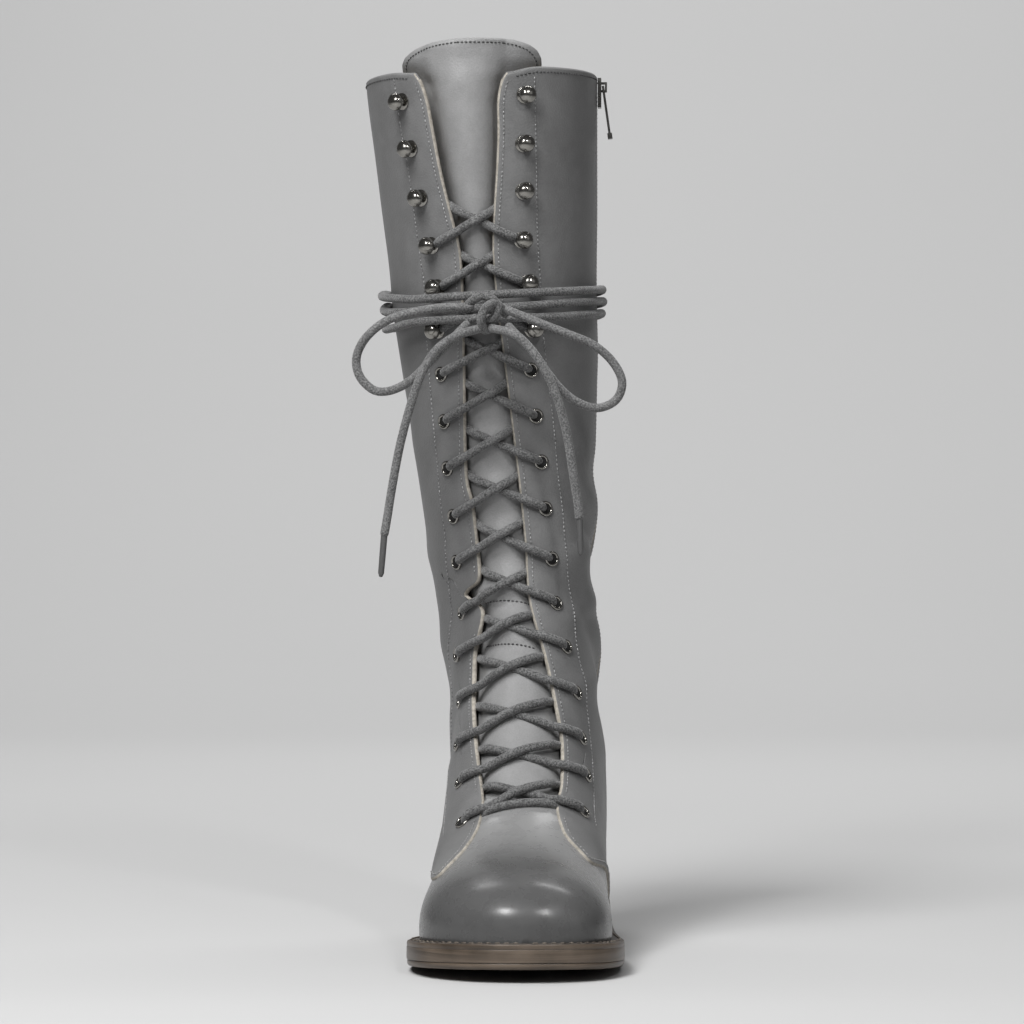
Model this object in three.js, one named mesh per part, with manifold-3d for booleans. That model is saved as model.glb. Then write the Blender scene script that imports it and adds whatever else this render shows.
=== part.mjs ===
// A knee-high lace-up boot for the right foot: a welted sole with a stacked heel, an open throat with
// a tongue behind it, hooks and eyelets, a lace wound round the shaft and tied, and a zip on the inner side.
// Millimetres, +Z up. The toe points to -Y and +X is the inner side. The origin is under the heel.
import * as THREE from "three";
import { mergeVertices } from "three/addons/utils/BufferGeometryUtils.js";
import Module from "manifold-3d";

const wasm = await Module();
wasm.setup();

// Driving sizes
const lastLength = 272; // from the back of the heel to the toe tip
const ballWidth = 89; // the upper across the ball of the foot
const collarHeight = 434;
const collarTilt = 0.03; // rise of the collar towards the inner side, per mm
const heelRise = 32; // the footbed over the floor at the heel
const toeSpring = 6;
const vampWall = 1.6;
const quarterStep = 1.2; // how far the quarters stand over the vamp
const clearance = 0.3;
const trimGap = 0.5; // under the eyelets and hooks, which are flat on a round wall
const bedGap = 0.6; // between the curved footbed and what stands on it
const weltThickness = 2.6;
const midsoleThickness = 6;
const outsoleThickness = 2.8;
const weltProud = 6.2;
const weltEdge = 0.7; // its bevel
const outsoleEdge = 1.4;
const heelLift = 6;
const insoleThickness = 2.6;
const insoleInset = 2;
const tongueThickness = 2.2;
const tongueGap = 2.3;
const laceDiameter = 4.3;
const agletDiameter = 3.2;
const eyeletOuter = 3.8;
const eyeletBore = 2.5;
const eyeletHeight = 1;
const hookDome = 4.4;
const hookHeight = 7.6;
const zipSlot = 5.2;
const zipTapeWidth = 14;
const zipTapeThickness = 0.9;
const ringCount = 36;
const ringPoints = 24;
const trimSides = 8; // sides of an eyelet, a hook and a free lace
const strandSides = 6;

// The footbed
const soleThickness = weltThickness + midsoleThickness + outsoleThickness + 2 * clearance;
const springStart = -0.515 * lastLength; // in front of it the toe springs up
const archFront = -0.41 * lastLength;
const archBack = -0.018 * lastLength;
const springRun = 0.334 * lastLength;

function bed(y) {
  const arch = THREE.MathUtils.smoothstep(y, archFront, archBack);
  const spring = Math.max(0, (springStart - y) / springRun);
  return soleThickness + arch * (heelRise - soleThickness) + spring * toeSpring;
}

// The foot, from the toe tip to the throat: y, top over the footbed, outer side, inner side
const footRows = [
  [-0.849, 0.010, 0.040, 0.094],
  [-0.847, 0.021, -0.039, 0.169],
  [-0.842, 0.032, -0.112, 0.236],
  [-0.833, 0.042, -0.185, 0.298],
  [-0.820, 0.051, -0.254, 0.364],
  [-0.801, 0.061, -0.324, 0.416],
  [-0.779, 0.069, -0.384, 0.452],
  [-0.750, 0.077, -0.440, 0.481],
  [-0.713, 0.084, -0.482, 0.499],
  [-0.669, 0.091, -0.508, 0.506],
  [-0.621, 0.102, -0.512, 0.506],
  [-0.570, 0.118, -0.503, 0.499],
  [-0.522, 0.136, -0.490, 0.490],
];
// The waist, where the sections fan round the ankle:
// front y, front z, lower y, outer side, inner side, share of the widest place, reach under the footbed
const waistRows = [
  [-0.478, 0.184, -0.449, -0.474, 0.479, 0.410, 0.049],
  [-0.434, 0.212, -0.368, -0.458, 0.465, 0.390, 0.048],
  [-0.392, 0.242, -0.287, -0.443, 0.454, 0.360, 0.045],
  [-0.353, 0.274, -0.199, -0.434, 0.452, 0.350, 0.043],
  [-0.320, 0.306, -0.103, -0.425, 0.447, 0.370, 0.045],
  [-0.290, 0.339, 0.000, -0.413, 0.449, 0.400, 0.051],
  [-0.267, 0.371, 0.088, -0.407, 0.445, 0.440, 0.055],
  [-0.246, 0.403, 0.153, -0.418, 0.416, 0.500, 0.021],
];
// The leg, up past the collar: front y, front z, back y, back z, outer side, inner side
const legRows = [
  [-0.235, 0.435, 0.162, 0.131, -0.425, 0.385],
  [-0.230, 0.468, 0.153, 0.203, -0.449, 0.408],
  [-0.228, 0.500, 0.136, 0.272, -0.484, 0.391],
  [-0.228, 0.532, 0.125, 0.341, -0.520, 0.355],
  [-0.228, 0.565, 0.125, 0.403, -0.557, 0.384],
  [-0.232, 0.597, 0.132, 0.468, -0.593, 0.381],
  [-0.237, 0.638, 0.147, 0.537, -0.629, 0.387],
  [-0.243, 0.684, 0.165, 0.606, -0.680, 0.392],
  [-0.248, 0.735, 0.180, 0.680, -0.725, 0.391],
  [-0.254, 0.790, 0.193, 0.758, -0.761, 0.390],
  [-0.261, 0.850, 0.202, 0.834, -0.804, 0.393],
  [-0.268, 0.910, 0.206, 0.906, -0.844, 0.393],
  [-0.276, 0.970, 0.206, 0.970, -0.883, 0.393],
  [-0.283, 1.032, 0.206, 1.035, -0.912, 0.393],
  [-0.290, 1.094, 0.206, 1.099, -0.949, 0.393],
];
// The open throat and the notch in its outer edge, seen from the front: x, z
const throatOutline = [
  [-0.599, 0.993],
  [-0.566, 0.982],
  [-0.534, 0.961],
  [-0.501, 0.925],
  [-0.457, 0.879],
  [-0.404, 0.834],
  [-0.355, 0.790],
  [-0.339, 0.733],
  [-0.333, 0.654],
  [-0.325, 0.544],
  [-0.289, 0.505],
  [-0.261, 0.459],
  [-0.246, 0.429],
  [-0.256, 0.416],
  [-0.308, 0.408],
  [-0.331, 0.400],
  [-0.310, 0.394],
  [-0.254, 0.389],
  [-0.226, 0.379],
  [-0.245, 0.355],
  [-0.265, 0.332],
  [-0.270, 0.281],
  [-0.249, 0.236],
  [-0.213, 0.194],
  [-0.198, 0.175],
  [-0.090, 0.178],
  [0.000, 0.179],
  [0.101, 0.178],
  [0.208, 0.174],
  [0.231, 0.191],
  [0.229, 0.236],
  [0.189, 0.281],
  [0.133, 0.332],
  [0.046, 0.395],
  [0.022, 0.459],
  [0.000, 0.505],
  [-0.021, 0.544],
  [-0.085, 0.654],
  [-0.135, 0.737],
  [-0.156, 0.802],
  [-0.136, 0.878],
  [-0.126, 0.924],
  [-0.127, 0.961],
  [-0.107, 0.984],
  [-0.082, 0.993],
];
// What lies in front of the quarters, seen from the front: x, z
const vampOutline = [
  [-0.674, 0.025],
  [-0.674, 0.069],
  [-0.431, 0.098],
  [-0.353, 0.112],
  [-0.278, 0.128],
  [-0.220, 0.147],
  [-0.200, 0.166],
  [-0.185, 0.187],
  [0.197, 0.187],
  [0.211, 0.168],
  [0.221, 0.157],
  [0.260, 0.140],
  [0.335, 0.124],
  [0.396, 0.112],
  [0.458, 0.102],
  [0.674, 0.071],
  [0.674, 0.025],
];
// Hook and eyelet rows from the collar down: outer x, outer z, inner x, inner z
const hookRows = [
  [-0.661, 0.965, 0.004, 0.970],
  [-0.612, 0.911, -0.002, 0.914],
  [-0.557, 0.854, -0.002, 0.861],
  [-0.498, 0.800, -0.009, 0.805],
  [-0.465, 0.752, 0.019, 0.756],
  [-0.465, 0.704, 0.046, 0.704],
];
const eyeletRows = [
  [-0.449, 0.653, 0.040, 0.657],
  [-0.434, 0.599, 0.067, 0.605],
  [-0.417, 0.546, 0.096, 0.553],
  [-0.383, 0.491, 0.118, 0.499],
  [-0.358, 0.438, 0.151, 0.442],
  [-0.344, 0.379, 0.174, 0.391],
  [-0.351, 0.331, 0.231, 0.341],
  [-0.351, 0.278, 0.284, 0.289],
  [-0.342, 0.232, 0.320, 0.239],
  [-0.317, 0.192, 0.349, 0.199],
  [-0.294, 0.152, 0.336, 0.162],
];
// The tongue: z, centre, half width
const tongueRows = [
  [0.122, 0.011, 0.247],
  [0.145, 0.011, 0.292],
  [0.177, 0.011, 0.309],
  [0.210, -0.006, 0.315],
  [0.247, -0.022, 0.315],
  [0.288, -0.045, 0.315],
  [0.332, -0.067, 0.320],
  [0.380, -0.090, 0.326],
  [0.433, -0.112, 0.337],
  [0.491, -0.140, 0.348],
  [0.548, -0.172, 0.360],
  [0.606, -0.193, 0.371],
  [0.664, -0.211, 0.382],
  [0.726, -0.230, 0.393],
  [0.790, -0.253, 0.404],
  [0.855, -0.275, 0.410],
  [0.919, -0.290, 0.416],
  [0.979, -0.297, 0.416],
  [1.000, -0.298, 0.411],
  [1.014, -0.298, 0.376],
  [1.023, -0.298, 0.315],
  [1.029, -0.298, 0.213],
  [1.032, -0.298, 0.101],
];

const footTuck = 14; // reach of the foot's sections under the footbed, where the sole trims them
const footWidest = 5; // the foot is widest this far over the footbed
const rings = [
  ...footRows.map(([y, top, outer, inner]) => {
    const [at, low] = [y * lastLength, bed(y * lastLength) - footTuck];
    const high = low + footTuck + top * collarHeight;
    const widest = Math.min(0.5, (footTuck + footWidest) / (high - low));
    return [at, high, at, low, outer * ballWidth, inner * ballWidth, widest, 2.25, 2.7];
  }),
  ...waistRows.map(([frontY, frontZ, backY, outer, inner, widest, tuck]) => [
    frontY * lastLength,
    frontZ * collarHeight,
    backY * lastLength,
    bed(backY * lastLength) - tuck * collarHeight,
    outer * ballWidth,
    inner * ballWidth,
    widest,
    2.25,
    2.8,
  ]),
  ...legRows.map(([frontY, frontZ, backY, backZ, outer, inner]) => [
    frontY * lastLength,
    frontZ * collarHeight,
    backY * lastLength,
    backZ * collarHeight,
    outer * ballWidth,
    inner * ballWidth,
    0.5,
    2.15,
    2.2,
  ]),
];

// The last's surface: u runs from the toe (0) to above the collar (1), a runs round the section from the
// inner side (0) over the front (0.25) and the outer side (0.5) to the back (0.75).
function ringAt(u) {
  const place = THREE.MathUtils.clamp(u, 0, 1) * (rings.length - 1);
  const i = Math.min(Math.floor(place), rings.length - 2);
  const t = place - i;
  const near = [i - 1, i, i + 1, i + 2].map((k) => rings[THREE.MathUtils.clamp(k, 0, rings.length - 1)]);
  return near[1].map((value, k) => {
    const [before, from, to, after] = near.map((ring) => ring[k]);
    const bend = (2 * before - 5 * from + 4 * to - after) * t + (3 * from - before - 3 * to + after) * t * t;
    return value + 0.5 * t * (to - before + bend);
  });
}

function signedPower(value, power) {
  return Math.sign(value) * Math.abs(value) ** power;
}

function surface(u, a) {
  const [frontY, frontZ, backY, backZ, outer, inner, widest, squareFront, squareBack] = ringAt(u);
  const angle = 2 * Math.PI * a;
  const power = 2 / (Math.sin(angle) > 0 ? squareFront : squareBack);
  const across = signedPower(Math.cos(angle), power);
  const along = signedPower(Math.sin(angle), power);
  const share = widest + along * (along > 0 ? 1 - widest : widest);
  return new THREE.Vector3(
    (outer + inner) / 2 + (across * (inner - outer)) / 2,
    backY + share * (frontY - backY),
    backZ + share * (frontZ - backZ),
  );
}

function normalAt(u, a) {
  const step = 0.002;
  const alongLeg = surface(Math.min(1, u + step), a).sub(surface(Math.max(0, u - step), a));
  const round = surface(u, a + step).sub(surface(u, a - step));
  return alongLeg.cross(round).normalize();
}

function skin(u, a, offset) {
  return surface(u, a).addScaledVector(normalAt(u, a), offset);
}

function bisect(test, low, high) {
  for (let k = 0; k < 22; k += 1) {
    const middle = (low + high) / 2;
    if (test(middle)) high = middle;
    else low = middle;
  }
  return (low + high) / 2;
}

// The place on the surface at height z, for one direction round the section.
function levelAt(a, z) {
  return bisect((u) => surface(u, a).z > z, 0.02, 1);
}

// The place on the front that is seen at x, z.
function frontAt(x, z) {
  const a = bisect((test) => surface(levelAt(test, z), test).x < x, 0.001, 0.499);
  const u = levelAt(a, z);
  return { u, a, point: surface(u, a), normal: normalAt(u, a) };
}

// Closed meshes
function closedGeometry(points, triangles) {
  let volume = 0;
  for (const [i, j, k] of triangles) {
    volume += points[i].dot(points[j].clone().cross(points[k]));
  }
  const faces = volume > 0 ? triangles : triangles.map(([i, j, k]) => [i, k, j]);
  const geometry = new THREE.BufferGeometry().setFromPoints(points);
  geometry.setIndex(faces.flat());
  return geometry;
}

// Joins rings of points; the ends are closed from their middle, or the last ring meets the first.
function loft(sections, meetsItself = false) {
  const count = sections[0].length;
  const points = sections.flat();
  const triangles = [];
  const bands = meetsItself ? sections.length : sections.length - 1;
  for (let i = 0; i < bands; i += 1) {
    const next = ((i + 1) % sections.length) * count;
    for (let j = 0; j < count; j += 1) {
      const [p, q] = [j, (j + 1) % count];
      triangles.push([i * count + p, next + p, next + q], [i * count + p, next + q, i * count + q]);
    }
  }
  if (!meetsItself) {
    for (const [first, turned] of [[0, false], [(sections.length - 1) * count, true]]) {
      const middle = new THREE.Vector3();
      for (let j = 0; j < count; j += 1) middle.addScaledVector(points[first + j], 1 / count);
      points.push(middle);
      for (let j = 0; j < count; j += 1) {
        const [p, q] = [first + j, first + ((j + 1) % count)];
        triangles.push(turned ? [points.length - 1, q, p] : [points.length - 1, p, q]);
      }
    }
  }
  return closedGeometry(points, triangles);
}

// A plate between a lower and an upper face, each a list of levels of paired side points.
function plate(levels) {
  const pairs = levels[0].outer.length;
  const count = 2 * pairs;
  const points = levels.flatMap(({ outer, inner }) => [...outer, ...inner.toReversed()]);
  const triangles = [];
  for (let i = 0; i + 1 < levels.length; i += 1) {
    for (let j = 0; j < count; j += 1) {
      const [p, q] = [i * count + j, i * count + ((j + 1) % count)];
      triangles.push([p, q, q + count], [p, q + count, p + count]);
    }
  }
  const top = (levels.length - 1) * count;
  for (let j = 0; j + 1 < pairs; j += 1) {
    const [p, q, r, s] = [j, j + 1, count - 2 - j, count - 1 - j];
    triangles.push([p, r, q], [p, s, r], [top + p, top + q, top + r], [top + p, top + r, top + s]);
  }
  return closedGeometry(points, triangles);
}

function solid(geometry) {
  const bare = geometry.clone();
  bare.deleteAttribute("normal");
  bare.deleteAttribute("uv");
  const merged = mergeVertices(bare, 1e-4);
  return new wasm.Manifold(
    new wasm.Mesh({
      numProp: 3,
      vertProperties: new Float32Array(merged.attributes.position.array),
      triVerts: new Uint32Array(merged.index.array),
    }),
  );
}

function geometryOf(body) {
  const mesh = body.getMesh();
  const geometry = new THREE.BufferGeometry();
  geometry.setAttribute("position", new THREE.BufferAttribute(mesh.vertProperties, 3));
  geometry.setIndex([...mesh.triVerts]);
  return geometry;
}

// Materials
function material(color, roughness, metalness = 0) {
  return new THREE.MeshStandardMaterial({ color, roughness, metalness, flatShading: true });
}

const leather = material("#6f6f6f", 0.42);
const lining = material("#a99d8c", 0.8);
const weltDark = material("#2e2824", 0.55);
const stackedEdge = material("#6b5a4c", 0.5);
const heelRubber = material("#2b2725", 0.75);
const nickel = material("#c9c7c2", 0.18, 1);
const cord = material("#6a6a6a", 0.85);
const agletGrey = material("#4f4f4f", 0.4);
const tape = material("#55524f", 0.85);

const boot = new THREE.Group();
boot.name = "boot";

function add(name, geometry, look, parent = boot) {
  const mesh = new THREE.Mesh(geometry, look);
  mesh.name = name;
  parent.add(mesh);
  return mesh;
}

// The upper: one hollow wall, open at the collar, the throat and underneath
function lastSolid(offset) {
  const sections = [];
  for (let i = 0; i < ringCount; i += 1) {
    const u = i / (ringCount - 1);
    const section = [];
    for (let j = 0; j < ringPoints; j += 1) section.push(skin(u, j / ringPoints, offset));
    sections.push(section);
  }
  return solid(loft(sections));
}

// A prism through the boot from front to back, from an outline seen from the front.
function frontPrism(outline, fromY, toY) {
  const corners = outline.map(([x, z]) => new THREE.Vector2(x * ballWidth, z * collarHeight));
  const shape = new THREE.Shape(corners);
  const geometry = new THREE.ExtrudeGeometry(shape, { depth: toY - fromY, bevelEnabled: false });
  return geometry.rotateX(Math.PI / 2).translate(0, toY, 0);
}

// A block between two curves of height along the foot.
function lengthwiseBlock(low, high, reach, steps = 110) {
  const [fromY, toY] = [-lastLength, 0.4 * lastLength];
  const sections = [];
  for (let i = 0; i <= steps; i += 1) {
    const y = THREE.MathUtils.lerp(fromY, toY, i / steps);
    const corners = [[-reach, low(y)], [reach, low(y)], [reach, high(y)], [-reach, high(y)]];
    sections.push(corners.map(([x, z]) => new THREE.Vector3(x, y, z)));
  }
  return solid(loft(sections));
}

const reach = 1.2 * ballWidth; // cutting blocks reach past the boot on every side
const frontReach = -1.2 * lastLength;
const quarterFrontTop = -0.44 * lastLength;
const quarterFrontFoot = -0.385 * lastLength;
const quarterBend = 0.108 * collarHeight; // where the quarters' front edge turns down to the welt
const throatBack = -0.05 * lastLength;

function upperBody() {
  const underBed = lengthwiseBlock(() => -collarHeight / 4, (y) => bed(y) + bedGap, reach);
  const overCollar = new THREE.BoxGeometry(2 * reach, 2 * lastLength, collarHeight);
  overCollar.translate(0, 0, 1.5 * collarHeight).rotateY(-collarTilt);
  const vampFront = solid(frontPrism(vampOutline, frontReach, quarterFrontTop));
  const vampSide = solid(
    loft([-reach, reach].map((x) => [
      new THREE.Vector3(x, frontReach, -collarHeight / 4),
      new THREE.Vector3(x, quarterFrontFoot, -collarHeight / 4),
      new THREE.Vector3(x, quarterFrontFoot, heelRise / 3),
      new THREE.Vector3(x, quarterFrontTop, quarterBend),
      new THREE.Vector3(x, frontReach, quarterBend),
    ])),
  );
  const quarters = lastSolid(quarterStep).subtract(vampFront).subtract(vampSide);
  let body = lastSolid(0).add(quarters).subtract(lastSolid(-vampWall));
  body = body.subtract(underBed).subtract(solid(overCollar));
  const flare = 0.05; // the throat is cut on past the collar, a little wider
  const [topOuter, topInner] = [throatOutline[0][0] - flare, throatOutline.at(-1)[0] + flare];
  const throat = [...throatOutline, [topInner, 1 + flare], [topOuter, 1 + flare]];
  body = body.subtract(solid(frontPrism(throat, frontReach, throatBack)));
  const deep = 3 * vampWall;
  for (const { point, normal } of eyelets) {
    const hole = new THREE.CylinderGeometry(eyeletBore, eyeletBore, 2 * deep, trimSides);
    hole.applyQuaternion(new THREE.Quaternion().setFromUnitVectors(new THREE.Vector3(0, 1, 0), normal));
    hole.translate(point.x, point.y, point.z);
    body = body.subtract(solid(hole));
  }
  const slot = zipRibbon([...zipStations.slice(1), 1], zipSlot / 2, -deep, deep);
  return body.subtract(solid(slot));
}

const eyelets = eyeletRows.flatMap(([outerX, outerZ, innerX, innerZ]) => [
  frontAt(outerX * ballWidth, outerZ * collarHeight),
  frontAt(innerX * ballWidth, innerZ * collarHeight),
]);
const hooks = hookRows.flatMap(([outerX, outerZ, innerX, innerZ]) => [
  frontAt(outerX * ballWidth, outerZ * collarHeight),
  frontAt(innerX * ballWidth, innerZ * collarHeight),
]);

// The zip follows the inner side of the leg.
const zipFoot = 0.228; // share of the collar's height
const zipStep = 0.042;
const zipStations = [];
for (let share = zipFoot; share < 1; share += zipStep) zipStations.push(levelAt(0, share * collarHeight));

function zipRibbon(stations, halfWidth, low, high) {
  const sections = stations.map((u) => {
    const [centre, normal] = [surface(u, 0), normalAt(u, 0)];
    const along = surface(Math.min(1, u + 0.01), 0).sub(surface(u - 0.01, 0)).normalize();
    const across = new THREE.Vector3().crossVectors(normal, along).normalize();
    const corners = [[-1, low], [1, low], [1, high], [-1, high]];
    return corners.map(([side, height]) =>
      centre.clone().addScaledVector(across, side * halfWidth).addScaledVector(normal, height));
  });
  return loft(sections);
}

const upper = upperBody();
add("upper", geometryOf(upper), leather);

// The line where the upper meets the footbed, as paired points of the outer and the inner side
function featherLine(offset, lift, stations) {
  const over = (u, a) => {
    const point = skin(u, a, offset);
    return point.z - bed(point.y) - lift;
  };
  const cornerRing = (footRows.length + waistRows.length - 1) / (rings.length - 1);
  const heelU = bisect((u) => over(u, 0.75) > 0, cornerRing - 0.04, cornerRing + 0.04);
  const line = { outer: [], inner: [] };
  for (let i = 0; i < stations; i += 1) {
    const share = i / (stations - 1);
    const u = heelU * (share < 0.5 ? share : 0.5 + 0.5 * (1 - (2 - 2 * share) ** 2) * 0.999);
    line.outer.push(skin(u, bisect((a) => over(u, a) < 0, 0.5, 0.75), offset));
    line.inner.push(skin(u, 1 - bisect((a) => over(u, 1 - a) < 0, 0, 0.25), offset));
  }
  return line;
}

// The same outline again, moved out in plan and set at a height over the footbed.
function level(line, out, height) {
  const loop = [...line.outer, ...line.inner.toReversed()];
  const moved = loop.map((point, i) => {
    const before = loop[(i + loop.length - 1) % loop.length];
    const after = loop[(i + 1) % loop.length];
    const normal = new THREE.Vector3(-(after.y - before.y), after.x - before.x, 0).normalize();
    const place = point.clone().addScaledVector(normal, out);
    return place.setZ(height(place));
  });
  return { outer: moved.slice(0, line.outer.length), inner: moved.slice(line.outer.length).toReversed() };
}

const soleStations = 32;
const feather = featherLine(0, 0, soleStations);
const underWelt = weltThickness + clearance;
const underMidsole = underWelt + midsoleThickness + clearance;
const bedLess = (depth) => (point) => bed(point.y) - depth;

add("welt", plate([
  level(feather, weltProud, bedLess(weltThickness)),
  level(feather, weltProud, bedLess(weltEdge)),
  level(feather, weltProud - weltEdge, bedLess(0)),
]), weltDark);
add("midsole", plate([
  level(feather, weltProud, bedLess(underWelt + midsoleThickness)),
  level(feather, weltProud, bedLess(underWelt)),
]), stackedEdge);
add("outsole", plate([
  level(feather, weltProud - outsoleEdge, bedLess(underMidsole + outsoleThickness)),
  level(feather, weltProud, bedLess(underMidsole + outsoleThickness - outsoleEdge)),
  level(feather, weltProud, bedLess(underMidsole)),
]), stackedEdge);

const inside = featherLine(-vampWall - clearance, clearance, soleStations);
add("insole", plate([
  level(inside, -insoleInset, (point) => bed(point.y) + bedGap),
  level(inside, -insoleInset, (point) => bed(point.y) + bedGap + insoleThickness),
]), lining);

// The heel: the sole's outline behind the breast
const heelBreast = -0.09 * lastLength;
const heelTaper = 1.8;
const heelProud = weltProud - 1.6;
const heelPoints = 14;

function behindBreast(side) {
  const first = side.findIndex((point) => point.y > heelBreast);
  const share = (heelBreast - side[first - 1].y) / (side[first].y - side[first - 1].y);
  const kept = [side[first - 1].clone().lerp(side[first], share), ...side.slice(first)];
  const curve = new THREE.CatmullRomCurve3(kept);
  return curve.getSpacedPoints(heelPoints - 1);
}

const heelLine = { outer: behindBreast(feather.outer), inner: behindBreast(feather.inner) };
const heelTop = (point) => bed(point.y) - underMidsole - outsoleThickness - clearance;

function heelLevel(out, height) {
  const moved = level(heelLine, out, height);
  for (const side of [moved.outer, moved.inner]) side[0].y = heelBreast;
  return moved;
}

add("heel_stack", plate([
  heelLevel(heelProud - heelTaper, () => heelLift + clearance),
  heelLevel(heelProud, heelTop),
]), stackedEdge);
add("heel_lift", plate([
  heelLevel(heelProud - heelTaper, () => 0),
  heelLevel(heelProud - heelTaper, () => heelLift),
]), heelRubber);

// The tongue lies behind the throat and stands over the collar.
function tongueSheet() {
  const columns = 6;
  const front = -vampWall - tongueGap;
  const sections = tongueRows.map(([z, centre, halfWidth]) => {
    const places = [];
    for (let j = 0; j <= columns; j += 1) {
      const x = (centre + halfWidth * (1 - (2 * j) / columns)) * ballWidth;
      places.push(frontAt(x, z * collarHeight));
    }
    const face = (offset) => places.map(({ point, normal }) => point.clone().addScaledVector(normal, offset));
    return [...face(front), ...face(front - tongueThickness).toReversed()];
  });
  return loft(sections);
}

add("tongue", tongueSheet(), leather);

// The zip
const slotGap = 0.8;
const teethLift = 1.1; // over the tape
const teethSink = 0.2; // under the quarters' face
const tapeDepth = 1.7; // the flat tape lies this far behind the curved wall
const tapeTop = -vampWall - tapeDepth;
const teethWidth = zipSlot / 2 - slotGap;
add("zip_tape", zipRibbon(zipStations, zipTapeWidth / 2, tapeTop - zipTapeThickness, tapeTop), tape);
const teeth = zipRibbon(zipStations.slice(2), teethWidth, tapeTop + teethLift, quarterStep - teethSink);
add("zip_teeth", teeth, nickel);

const sliderHeight = 15;
const sliderWidth = 8;
const sliderPlace = 0.985; // share of the collar's height
const pullLength = 25;
const pullLean = THREE.MathUtils.degToRad(8);
const slider = new THREE.Group();
const sliderSeat = surface(levelAt(0, sliderPlace * collarHeight), 0);
slider.position.set(sliderSeat.x + quarterStep + clearance, sliderSeat.y, sliderSeat.z);
boot.add(slider);

function box(fromX, toX, width, fromZ, toZ) {
  const geometry = new THREE.BoxGeometry(toX - fromX, width, toZ - fromZ);
  return geometry.translate((fromX + toX) / 2, 0, (fromZ + toZ) / 2);
}

const plateThick = 1.8;
const bridgeThick = 1.1;
const pinHalf = 0.6;
const pinReach = plateThick + clearance + pinHalf; // the hinge's distance from the slider's back
const pinHeight = 3;
const bridgeWidth = 1.6;
const bridgeIn = pinReach + pinHalf + clearance;
const bridgeOut = bridgeIn + bridgeThick;
const legFrom = 1.4;
const legTo = 2.6;
const sliderBody = solid(box(0, plateThick, sliderWidth, -sliderHeight / 2, sliderHeight / 2))
  .add(solid(box(plateThick / 2, bridgeOut, bridgeWidth, pinHeight + legFrom, pinHeight + legTo)))
  .add(solid(box(plateThick / 2, bridgeOut, bridgeWidth, pinHeight - legTo, pinHeight - legFrom)))
  .add(solid(box(bridgeIn, bridgeOut, bridgeWidth, pinHeight - legTo, pinHeight + legTo)));
add("zip_slider", geometryOf(sliderBody), nickel, slider);

const pull = new THREE.Group();
pull.position.set(pinReach, 0, pinHeight);
pull.rotation.y = -pullLean;
slider.add(pull);
const pullWidth = 5.4;
const eyeHalf = bridgeWidth / 2 + 0.4;
const eyeEnd = legTo + 0.7;
const [tipHalf, tipWidth, tipReach] = [1.2, 4.4, 1.5]; // the pull's thick end
const pullBody = solid(box(-pinHalf, pinHalf, pullWidth, -pullLength, pinHalf))
  .subtract(solid(box(-pinReach, pinReach, 2 * eyeHalf, -eyeEnd, -pinHalf)))
  .add(solid(box(-tipHalf, tipHalf, tipWidth, -pullLength - tipReach, -pullLength + tipReach)));
add("zip_pull", geometryOf(pullBody), nickel, pull);

// Eyelets and hooks
function placed(geometry, { point, normal }, height) {
  geometry.rotateX(Math.PI / 2);
  geometry.applyQuaternion(new THREE.Quaternion().setFromUnitVectors(new THREE.Vector3(0, 0, 1), normal));
  const seat = point.clone().addScaledVector(normal, height);
  return geometry.translate(seat.x, seat.y, seat.z);
}

function turned(profile, segments) {
  return new THREE.LatheGeometry(profile.map(([x, y]) => new THREE.Vector2(x, y)), segments);
}

function rowName(index) {
  const row = String(Math.floor(index / 2) + 1).padStart(2, "0");
  return `${row}_${index % 2 ? "inner" : "outer"}`;
}

const eyeletProfile = [
  [eyeletBore, 0],
  [eyeletOuter, 0],
  [eyeletOuter - 0.5, eyeletHeight],
  [eyeletBore, eyeletHeight - 0.2],
  [eyeletBore, 0],
];
eyelets.forEach((place, i) => {
  const geometry = placed(turned(eyeletProfile, trimSides), place, quarterStep + trimGap);
  add(`eyelet_${rowName(i)}`, geometry, nickel);
});
const [hookNeck, hookFoot] = [1.6, 1.2]; // the neck's radius, the foot's thickness
const hookProfile = [
  [0, 0],
  [hookDome - 0.8, 0],
  [hookNeck, hookFoot],
  [hookNeck, 0.55 * hookHeight],
  [hookDome, 0.66 * hookHeight],
  [hookDome - 0.9, 0.88 * hookHeight],
  [0, hookHeight],
];
hooks.forEach((place, i) => {
  add(`hook_${rowName(i)}`, placed(turned(hookProfile, trimSides), place, quarterStep + trimGap), nickel);
});

// The lace
function laceSection(diameter, sides) {
  const corners = [];
  for (let k = 0; k < sides; k += 1) {
    const angle = (Math.PI * (2 * k + 1)) / sides;
    corners.push(new THREE.Vector2(Math.cos(angle), Math.sin(angle)).multiplyScalar(diameter / 2));
  }
  return corners;
}

function laceTube(points, steps, diameter = laceDiameter, sides = trimSides) {
  const shape = new THREE.Shape(laceSection(diameter, sides));
  const extrudePath = new THREE.CatmullRomCurve3(points);
  return new THREE.ExtrudeGeometry(shape, { steps, extrudePath, bevelEnabled: false });
}

// Each crossing strand rests over the two facings it spans, clear of the eyelets and the hooks' necks.
const laceOverFacing = quarterStep + clearance + laceDiameter / 2;
const laceOverEyelet = laceOverFacing + trimGap + eyeletHeight + 0.2;
const instepLift = 3.4; // a straight strand needs more height where the instep is narrow
const besideHook = hookDome + clearance + laceDiameter / 2;

function strandPlace(from, to, share) {
  const x = THREE.MathUtils.lerp(from.x, to.x, share);
  const z = THREE.MathUtils.lerp(from.z, to.z, share);
  const lift = instepLift * (1 - THREE.MathUtils.smoothstep(z / collarHeight, 0.3, 0.7));
  const { point, normal } = frontAt(x, z);
  return point.addScaledVector(normal, laceOverEyelet + lift);
}

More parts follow.
